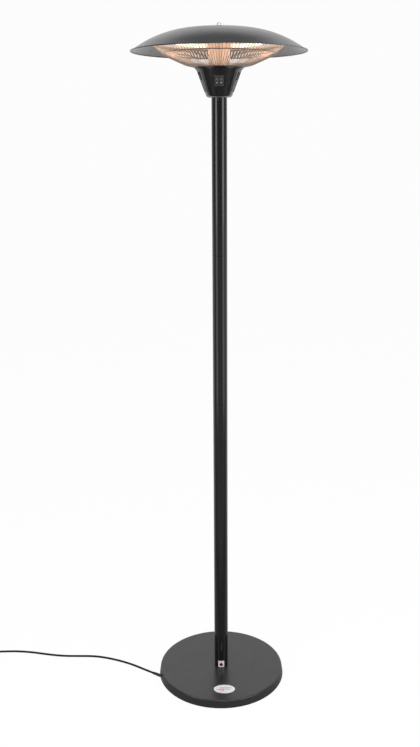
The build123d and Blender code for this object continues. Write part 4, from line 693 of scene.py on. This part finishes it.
def coil_points(end, heading):
    """Points of the wound cord from the end of the free route: inwards below, then outwards above."""
    forward = Vector((math.cos(heading), math.sin(heading), 0.0))
    across = Vector((-forward.y, forward.x, 0.0))
    radii = [COIL_OUTER - COIL_PITCH / 2 * turn for turn in range(COIL_INWARD_TURNS + 1)]
    half_turns = [(radius, 0.0, 0.0) for radius in radii[:-1]]
    half_turns.append((radii[-1], 0.0, COIL_PITCH))
    for turn in range(COIL_OUTWARD_TURNS):
        half_turns.append((radii[COIL_INWARD_TURNS - 1 - turn], COIL_PITCH, COIL_PITCH))
    points = []
    y = 0.0
    side = 1
    for radius, low, high in half_turns:
        for step in range(COIL_STEPS):
            share = step / COIL_STEPS
            angle = math.pi * share
            reach = radius * COIL_SPREAD * math.sin(angle)
            along = COIL_LEAD + side * reach
            sideways = y + side * radius * (1 - math.cos(angle))
            points.append(end + forward * along + across * sideways + UP * (low + share * (high - low)))
        y += side * 2 * radius
        side = -side
    last = end + forward * COIL_LEAD + across * y + UP * COIL_PITCH
    for share in (0.0, 0.5, 1.0):
        points.append(last + forward * side * COIL_TAIL * share)
    return points


def build_cord(sizes):
    """The mains lead from the gland to the plug: the free route, then the put-away coil."""
    route = [Vector(point) for point in CORD_ROUTE]
    run = route[-1] - route[-2]
    points = route + coil_points(route[-1], math.atan2(run.y, run.x))
    line = bpy.data.curves.new("mains_lead", "CURVE")
    line.dimensions = "3D"
    spline = line.splines.new("NURBS")
    spline.points.add(len(points) - 1)
    for control, point in zip(spline.points, points):
        control.co = (*point, 1.0)
    spline.order_u = 3
    spline.use_endpoint_u = True
    spline.resolution_u = 6
    line.bevel_depth = sizes.cord_diameter / 2
    line.bevel_resolution = 4
    line.use_fill_caps = True
    cord = new_object("mains_lead", line)
    return attach(cord, "heater", "cord_rubber", FINISHES["cord"], "mains_cord", "cord_coil")


def build_relief(sizes):
    """The gland's ribbed rubber sleeve, which tapers round the cord."""
    heading = math.radians(GLAND_HEADING)
    place = axis_place(Vector(GLAND_EXIT), Vector((math.cos(heading), math.sin(heading), 0.0)))
    root = -GLAND_NECK - GLAND_FLANGE
    tip = GLAND_NECK + GLAND_TAPER
    bore = sizes.cord_diameter / 2 + GLAND_BORE_GAP
    narrower, shorter = GLAND_FLANGE_EDGE
    outline = [(GLAND_FLANGE_RADIUS - narrower, root), (GLAND_FLANGE_RADIUS, root + shorter),
               (GLAND_FLANGE_RADIUS, -GLAND_NECK - shorter), (GLAND_FLANGE_RADIUS - narrower, -GLAND_NECK),
               (GLAND_RADIUS, -GLAND_NECK), (GLAND_RADIUS, GLAND_NECK)]
    pitch = (GLAND_TAPER - 2 * GLAND_RIB_MARGIN) / max(1, sizes.relief_ribs)
    for rib in range(sizes.relief_ribs):
        along = GLAND_RIB_MARGIN + rib * pitch
        low = GLAND_NECK + along
        outer = GLAND_RADIUS - GLAND_TAPER_DROP * along / GLAND_TAPER
        inner = outer - GLAND_GROOVE
        groove_end, top_start, top_end = (low + pitch * share for share in GLAND_RIB_SHARES)
        outline += [(inner, low), (inner, groove_end), (outer, top_start), (outer, top_end)]
    outline += [(GLAND_TIP_RADII[0], tip - shorter), (GLAND_TIP_RADII[1], tip), (bore, tip), (bore, root)]

    def build(work):
        closed_lathe(work, outline, GLAND_STEPS, place)

    relief = sharp_where(mesh_piece("strain_relief", build), 50)
    return attach(relief, "heater", "cord_rubber", FINISHES["rubber"], "cable_gland")


def plug_frame():
    """The plug's foot, the way from its nose to its body, its radius and its height."""
    low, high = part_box("plug_body")
    pin_low, pin_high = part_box("plug_pins")
    foot = Vector(((pin_low.x + pin_high.x) / 2, (pin_low.y + pin_high.y) / 2, low.z))
    run = Vector(CORD_ROUTE[-1]) - Vector(CORD_ROUTE[-2])
    forward = Vector((run.x, run.y, 0.0)).normalized()
    tie = Vector((*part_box("coil_tie")[0].xy, 0.0))
    side = 1 if (foot - tie).dot(forward) > 0 else -1
    return foot, forward * side, (high.y - low.y) / 2, high.z - low.z


def plug_outline(radius, height):
    """The plug body's outline: a bevelled foot, a waist for the grip and a low rim round the top."""
    waist_low, waist_high = PLUG_WAIST[0], height - PLUG_WAIST[1]
    waist = radius - PLUG_WAIST_DEPTH
    return [(0.0, 0.0), (radius - 0.003, 0.0), (radius - 0.0009, 0.0009), (radius, 0.003),
            (radius, waist_low), (waist, waist_low + 0.0006), (waist, waist_high),
            (radius, waist_high + 0.0005), (radius, height - 0.0015), (radius - 0.0006, height - 0.0004),
            (radius - 0.0015, height), (radius - 0.0030, height), (radius - 0.0034, height - 0.0006),
            (0.0, height - 0.0006)]


def nose_outline():
    """The ribbed nose's outline, from the cord's entry to inside the plug's body."""
    outline = [(0.0, 0.0), (0.0046, 0.0), (0.0050, 0.0006)]
    for rib in range(NOSE_RIBS):
        wider = NOSE_SPREAD * rib
        low = 0.002 + NOSE_RIB_PITCH * rib
        outline += [(0.0050 + wider, low), (0.0043 + wider, low + 0.0004),
                    (0.0043 + wider, low + 0.0014), (0.0051 + wider, low + 0.0018)]
    return outline + [(0.0065, 0.0245), (0.0065, NOSE_LENGTH), (0.0, NOSE_LENGTH)]


def build_plug():
    """The angled plug: a grooved round body with a rim, and a ribbed nose."""
    foot, heading, radius, height = plug_frame()
    entry = Vector((foot.x, foot.y, NOSE_HEIGHT)) - heading * (radius + NOSE_REACH)

    def grip(reach, turn, row):
        if row in PLUG_GRIP_ROWS:
            return reach - PLUG_GRIP_DEPTH * (0.5 + 0.5 * math.cos(PLUG_GRIP_GROOVES * turn))
        return reach

    def build(work):
        lathe(work, plug_outline(radius, height), PLUG_STEPS, Matrix.Translation(foot), grip)
        lathe(work, nose_outline(), NOSE_STEPS, axis_place(entry, heading))
        bmesh.ops.remove_doubles(work, verts=work.verts, dist=0.00001)

    plug = sharp_where(mesh_piece("plug_shell", build), 42)
    return attach(plug, "heater", "plug_rubber", FINISHES["plug"], "plug_body")


def build_earth_strips():
    """The two earth strips in the plug's sides."""
    foot, heading, radius, height = plug_frame()
    across = Vector((-heading.y, heading.x, 0.0))
    section = rounded_box(*EARTH_SECTION, 3)

    def build(work):
        for side in (-1, 1):
            place = axes_place(foot + heading * side * (radius - EARTH_INSET), across, heading, UP)
            slab(work, section, height - EARTH_ENDS[0], height - EARTH_ENDS[1], place)

    strips = sharp_where(mesh_piece("plug_earth_strips", build), 40)
    return attach(strips, "heater", "pin_brass", FINISHES["pins"])


def pad_place():
    """The switch pad's frame: x to the right, y up the slope, z out of the housing."""
    slope = math.radians(PAD_SLOPE)
    outwards = Vector((0.0, -math.cos(slope), -math.sin(slope)))
    upwards = Vector((0.0, -math.sin(slope), math.cos(slope)))
    middle = Vector((0.0, -PAD_CONE, PAD_HEIGHT)) + outwards * PAD_STAND
    return axes_place(middle, Vector((1.0, 0.0, 0.0)), upwards, outwards)


def rocker_faces(side):
    """Frames on a rocker's upper and lower faces, where its marks are."""
    slant = math.radians(ROCKER_TILT)
    face = ROCKER_RISE + ROCKER_REACH * math.tan(slant)
    rocker = (pad_place() @ Matrix.Translation((side * ROCKER_SPACING / 2, 0.0, -ROCKER_PIVOT_DEPTH))
              @ Matrix.Rotation(-slant, 4, "X") @ Matrix.Translation((0.0, 0.0, ROCKER_PIVOT_DEPTH)))
    upper = rocker @ Matrix.Translation((0.0, ROCKER_REACH, face)) @ Matrix.Rotation(slant, 4, "X")
    lower = rocker @ Matrix.Translation((0.0, -ROCKER_REACH, face)) @ Matrix.Rotation(-slant, 4, "X")
    return upper, lower


def build_marks(sizes):
    """Plain marks printed on the rockers: a bar where they switch on, a ring where they switch off."""
    inner, outer = MARK_RING
    ring = [(inner, 0.0), (outer, 0.0), (outer, sizes.mark_height), (inner, sizes.mark_height)]
    for name, side in (("left", -1), ("right", 1)):
        upper, lower = rocker_faces(side)

        def build(work):
            slab(work, rounded_box(*MARK_BAR, 3), 0.0, sizes.mark_height, upper)
            closed_lathe(work, ring, MARK_STEPS, lower)

        marks = mesh_piece("rocker_marks_" + name, build, smooth=False)
        attach(marks, "rocker_" + name, "badge_face", FINISHES["mark"])


def build_badge_bars(sizes):
    """Plain printed bars on the oval badge."""
    low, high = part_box("badge")
    middle = (low + high) / 2
    for finish, places in BADGE_BARS.items():

        def build(work):
            for x, y, length, width in places:
                slab(work, rounded_box(length, width, width * 0.3, 4), high.z, high.z + sizes.mark_height,
                     Matrix.Translation((middle.x + x, middle.y + y, 0.0)))

        piece = mesh_piece("badge_" + finish.replace(" ", "_"), build, smooth=False)
        attach(piece, "heater", "badge_face", FINISHES[finish])


def build_filaments(sizes):
    """Coiled filaments along the lamps' centre lines."""
    total = sizes.filament_turns * FILAMENT_STEPS

    def wire_ring(work, middle, step):
        turn = math.radians(middle - LAMP_ARC / 2 + LAMP_ARC * step / total)
        spin = math.tau * step / FILAMENT_STEPS
        outwards = Vector((math.cos(turn), math.sin(turn), 0.0))
        along = Vector((-outwards.y, outwards.x, 0.0))
        normal = outwards * math.cos(spin) + UP * math.sin(spin)
        centre = outwards * LAMP_CIRCLE + UP * LAMP_HEIGHT + normal * FILAMENT_COIL
        return [work.verts.new(centre + (normal * math.cos(a) + along * math.sin(a)) * FILAMENT_WIRE)
                for a in (0.0, math.tau / 3, 2 * math.tau / 3)]

    def build(work):
        for middle in (0.0, 180.0):
            rings = [wire_ring(work, middle, step) for step in range(total + 1)]
            for low, high in zip(rings, rings[1:]):
                join_rings(work, low, high)
            work.faces.new(rings[0][::-1])
            work.faces.new(rings[-1])

    coils = mesh_piece("filament_coils", build)
    attach(coils, "heater", "lamp_filament", FINISHES["filament"], "filaments")


def build_vent_shade_screens():
    """Thin dark plates behind the vents, one on each side of the housing: painted shade for the dark
    inside.
    """
    corners = [(height, SCREEN_GAPS[0]) for height in SCREEN_HEIGHTS]
    corners += [(height, SCREEN_GAPS[1]) for height in reversed(SCREEN_HEIGHTS)]
    first, last = SCREEN_TURNS

    def column(work, side, turn):
        points = []
        for height, gap in corners:
            reach = HOUSING_FOOT + (height - HOUSING_BOTTOM) * HOUSING_FLARE - gap
            points.append(work.verts.new((side * reach * math.cos(turn), reach * math.sin(turn), height)))
        return points

    def build(work):
        for side in (-1, 1):
            columns = []
            for step in range(SCREEN_STEPS + 1):
                turn = first + step / SCREEN_STEPS * (last - first)
                columns.append(column(work, side, math.radians(turn)))
            for left, right in zip(columns, columns[1:]):
                join_rings(work, left, right)
            work.faces.new(columns[0])
            work.faces.new(columns[-1][::-1])

    screens = sharp_where(mesh_piece("vent_screens", build), 40)
    attach(screens, "heater", "dark_plastic", FINISHES["dark plastic"])


# Stage

def studio_white(tree, shader_output, share, level):
    """Mixes white into what the camera, glossy and clear rays see, at its own level for glossy rays."""
    path = node(tree, "ShaderNodeLightPath")
    seen = path.outputs["Is Camera Ray"]
    for label in ("Is Glossy Ray", "Is Transmission Ray"):
        seen = combined(tree, "MAXIMUM", seen, path.outputs[label])
    amount = node(tree, "ShaderNodeMath", operation="MULTIPLY")
    amount.inputs[1].default_value = share
    tree.links.new(seen, amount.inputs[0])
    white = node(tree, "ShaderNodeEmission")
    tree.links.new(mixed(tree, path.outputs["Is Glossy Ray"], WHITE, level), white.inputs["Color"])
    mix = node(tree, "ShaderNodeMixShader")
    tree.links.new(amount.outputs[0], mix.inputs[0])
    tree.links.new(shader_output, mix.inputs[1])
    tree.links.new(white.outputs[0], mix.inputs[2])
    return mix.outputs[0]


def build_floor():
    """A plain pale floor that runs up into a wall far behind."""

    def build(work):
        outline = [(FLOOR_FRONT, 0.0), (FLOOR_BACK, 0.0)]
        for step in range(1, WALL_BEND_STEPS + 1):
            angle = math.pi / 2 * step / WALL_BEND_STEPS
            outline.append((FLOOR_BACK + WALL_BEND * math.sin(angle), WALL_BEND * (1 - math.cos(angle))))
        outline.append((FLOOR_BACK + WALL_BEND, WALL_TOP))
        rows = [[work.verts.new((x, y, z - FLOOR_DROP)) for x in (-FLOOR_SIDE, FLOOR_SIDE)]
                for y, z in outline]
        for low, high in zip(rows, rows[1:]):
            work.faces.new((low[0], low[1], high[1], high[0]))

    floor = mesh_piece("studio_floor", build)
    pale = bpy.data.materials.new("Pale floor")
    pale.use_nodes = True
    tree = pale.node_tree
    shader = tree.nodes["Principled BSDF"]
    shader.inputs["Base Color"].default_value = FLOOR_COLOUR
    shader.inputs["Roughness"].default_value = 0.9
    shader.inputs["Specular IOR Level"].default_value = 0.1
    back = split(tree, node(tree, "ShaderNodeTexCoord").outputs["Object"])["Y"]
    level = combined(tree, "MAXIMUM", faded(tree, back, FRONT_LEVEL, 1.0, FLOOR_FADES[0]),
                     faded(tree, back, FAR_FRONT_LEVEL, 0.0, FLOOR_FADES[1]))
    look = studio_white(tree, shader.outputs[0], FLOOR_SHARE, level)
    tree.links.new(look, tree.nodes["Material Output"].inputs["Surface"])
    floor.data.materials.append(pale)


def build_world():
    """An even pale room: plain light on the heater, and white where the camera looks past it."""
    world = bpy.data.worlds.new("Studio")
    bpy.context.scene.world = world
    world.use_nodes = True
    tree = world.node_tree
    plain = tree.nodes["Background"]
    plain.inputs["Color"].default_value = ROOM_COLOUR
    plain.inputs["Strength"].default_value = ROOM_STRENGTH
    towards = split(tree, node(tree, "ShaderNodeTexCoord").outputs["Generated"])
    level = combined(tree, "MULTIPLY", faded(tree, towards["Y"], FRONT_LEVEL, 1.0, ROOM_FADES[0]),
                     faded(tree, towards["Z"], 1.0, CEILING_LEVEL, ROOM_FADES[1]))
    look = studio_white(tree, plain.outputs[0], 1.0, level)
    tree.links.new(look, tree.nodes["World Output"].inputs["Surface"])


def soft_light(name, place, target, size, energy):
    """A soft rectangular light that looks at a target."""
    light = bpy.data.lights.new(name, "AREA")
    light.shape = "RECTANGLE"
    light.size, light.size_y = size
    light.energy = energy
    holder = new_object(name, light)
    holder.location = place
    holder.rotation_euler = (Vector(target) - Vector(place)).to_track_quat("-Z", "Y").to_euler()


def build_lights():
    """An upright pair of soft lights on each side in front, and a large one high up."""
    for side, bearing, width, power in SIDE_LIGHTS:
        x = side * SIDE_LIGHT_DISTANCE * math.sin(math.radians(bearing))
        y = -SIDE_LIGHT_DISTANCE * math.cos(math.radians(bearing))
        for name, z, length, share in SIDE_LIGHT_PARTS:
            soft_light(name, (x, y, z), (0.0, 0.0, z), (width, length), share * power)
    soft_light("overhead", OVERHEAD_PLACE, OVERHEAD_TARGET, OVERHEAD_SIZE, OVERHEAD_POWER)


def build_glow():
    """Small warm lights below the lamps, which light the reflector and the guard's far side."""
    for step in range(GLOW_COUNT):
        turn = math.tau * step / GLOW_COUNT
        light = bpy.data.lights.new("lamp_glow", "POINT")
        light.energy = GLOW_ENERGY
        light.color = GLOW_COLOUR
        light.shadow_soft_size = GLOW_RADIUS
        holder = new_object("lamp_glow", light)
        holder.location = (LAMP_CIRCLE * math.cos(turn), LAMP_CIRCLE * math.sin(turn),
                           LAMP_HEIGHT - GLOW_DROP)
        holder.visible_camera = False


def build_camera():
    """The camera at the photograph's viewing angle."""
    data = bpy.data.cameras.new("photo_camera")
    data.sensor_width = SENSOR
    data.lens = FOCAL_PIXELS / PHOTO_HEIGHT * SENSOR
    data.shift_x = -CENTRE_OFFSET / PHOTO_HEIGHT
    data.clip_end = CAMERA_REACH
    camera = new_object("photo_camera", data)
    camera.matrix_world = (Matrix.Translation(CAMERA_PLACE)
                           @ Matrix.Rotation(math.radians(90.0 - CAMERA_PITCH), 4, "X")
                           @ Matrix.Rotation(math.radians(CAMERA_ROLL), 4, "Z"))
    bpy.context.scene.camera = camera


# Operators

class HEATER_OT_stage(bpy.types.Operator):
    """Make the floor, the world, the studio lights and the camera"""

    bl_idname = "heater.stage"
    bl_label = "Stage, lights and camera"

    def execute(self, context):
        for spare in [item for item in bpy.data.objects if item.type in ("CAMERA", "LIGHT")]:
            bpy.data.objects.remove(spare)
        build_camera()
        build_floor()
        build_world()
        build_lights()
        build_glow()
        context.scene.view_settings.view_transform = "Standard"
        return {"FINISHED"}


class HEATER_OT_finishes(bpy.types.Operator):
    """Make every finish, and dress the solids that keep their own shape"""

    bl_idname = "heater.finishes"
    bl_label = "Finishes"

    def execute(self, context):
        make_finishes(context.scene.heater_colours, context.scene.heater_sizes)
        for finish, names in DRESSED.items():
            dress(FINISHES[finish], *names)
        return {"FINISHED"}


class HEATER_OT_cord(bpy.types.Operator):
    """Lay the mains lead with its strain relief, coil and plug"""

    bl_idname = "heater.cord"
    bl_label = "Cord and plug"

    def execute(self, context):
        sizes = context.scene.heater_sizes
        cord = build_cord(sizes)
        relief = build_relief(sizes)
        plug = build_plug()
        earth = build_earth_strips()
        return {"FINISHED"}


class HEATER_OT_badge(bpy.types.Operator):
    """Print plain bars on the base's oval badge"""

    bl_idname = "heater.badge"
    bl_label = "Badge"

    def execute(self, context):
        build_badge_bars(context.scene.heater_sizes)
        return {"FINISHED"}


class HEATER_OT_marks(bpy.types.Operator):
    """Print the on and off marks on the rockers"""

    bl_idname = "heater.marks"
    bl_label = "Rocker marks"

    def execute(self, context):
        build_marks(context.scene.heater_sizes)
        return {"FINISHED"}


class HEATER_OT_screens(bpy.types.Operator):
    """Put the dark screens behind the housing's vents, painted shade for the dark inside"""

    bl_idname = "heater.screens"
    bl_label = "Vent screens"

    def execute(self, context):
        build_vent_shade_screens()
        return {"FINISHED"}


class HEATER_OT_filaments(bpy.types.Operator):
    """Wind the filaments of both lamps"""

    bl_idname = "heater.filaments"
    bl_label = "Filaments"

    def execute(self, context):
        build_filaments(context.scene.heater_sizes)
        return {"FINISHED"}


class HEATER_PT_panel(bpy.types.Panel):
    """The heater's colours, sizes and pieces"""

    bl_label = "Patio heater"
    bl_idname = "HEATER_PT_panel"
    bl_space_type = "VIEW_3D"
    bl_region_type = "UI"
    bl_category = "Heater"

    def draw(self, context):
        for group in (context.scene.heater_colours, context.scene.heater_sizes):
            box = self.layout.box()
            for name in group.__annotations__:
                box.prop(group, name)
        for operator in OPERATORS:
            self.layout.operator(operator.bl_idname)


OPERATORS = (HEATER_OT_stage, HEATER_OT_finishes, HEATER_OT_cord, HEATER_OT_badge, HEATER_OT_marks,
             HEATER_OT_screens, HEATER_OT_filaments)
CLASSES = (HeaterColours, HeaterSizes, *OPERATORS, HEATER_PT_panel)


def register():
    """Adds the properties, the operators and the panel."""
    for item in CLASSES:
        bpy.utils.register_class(item)
    bpy.types.Scene.heater_colours = PointerProperty(type=HeaterColours)
    bpy.types.Scene.heater_sizes = PointerProperty(type=HeaterSizes)


def unregister():
    """Takes them away again."""
    del bpy.types.Scene.heater_sizes
    del bpy.types.Scene.heater_colours
    for item in reversed(CLASSES):
        bpy.utils.unregister_class(item)


def main():
    """Dresses the heater piece by piece."""
    register()
    bpy.ops.heater.stage()
    bpy.ops.heater.finishes()
    bpy.ops.heater.cord()
    bpy.ops.heater.badge()
    bpy.ops.heater.marks()
    bpy.ops.heater.screens()
    bpy.ops.heater.filaments()


if __name__ == "__main__":
    main()
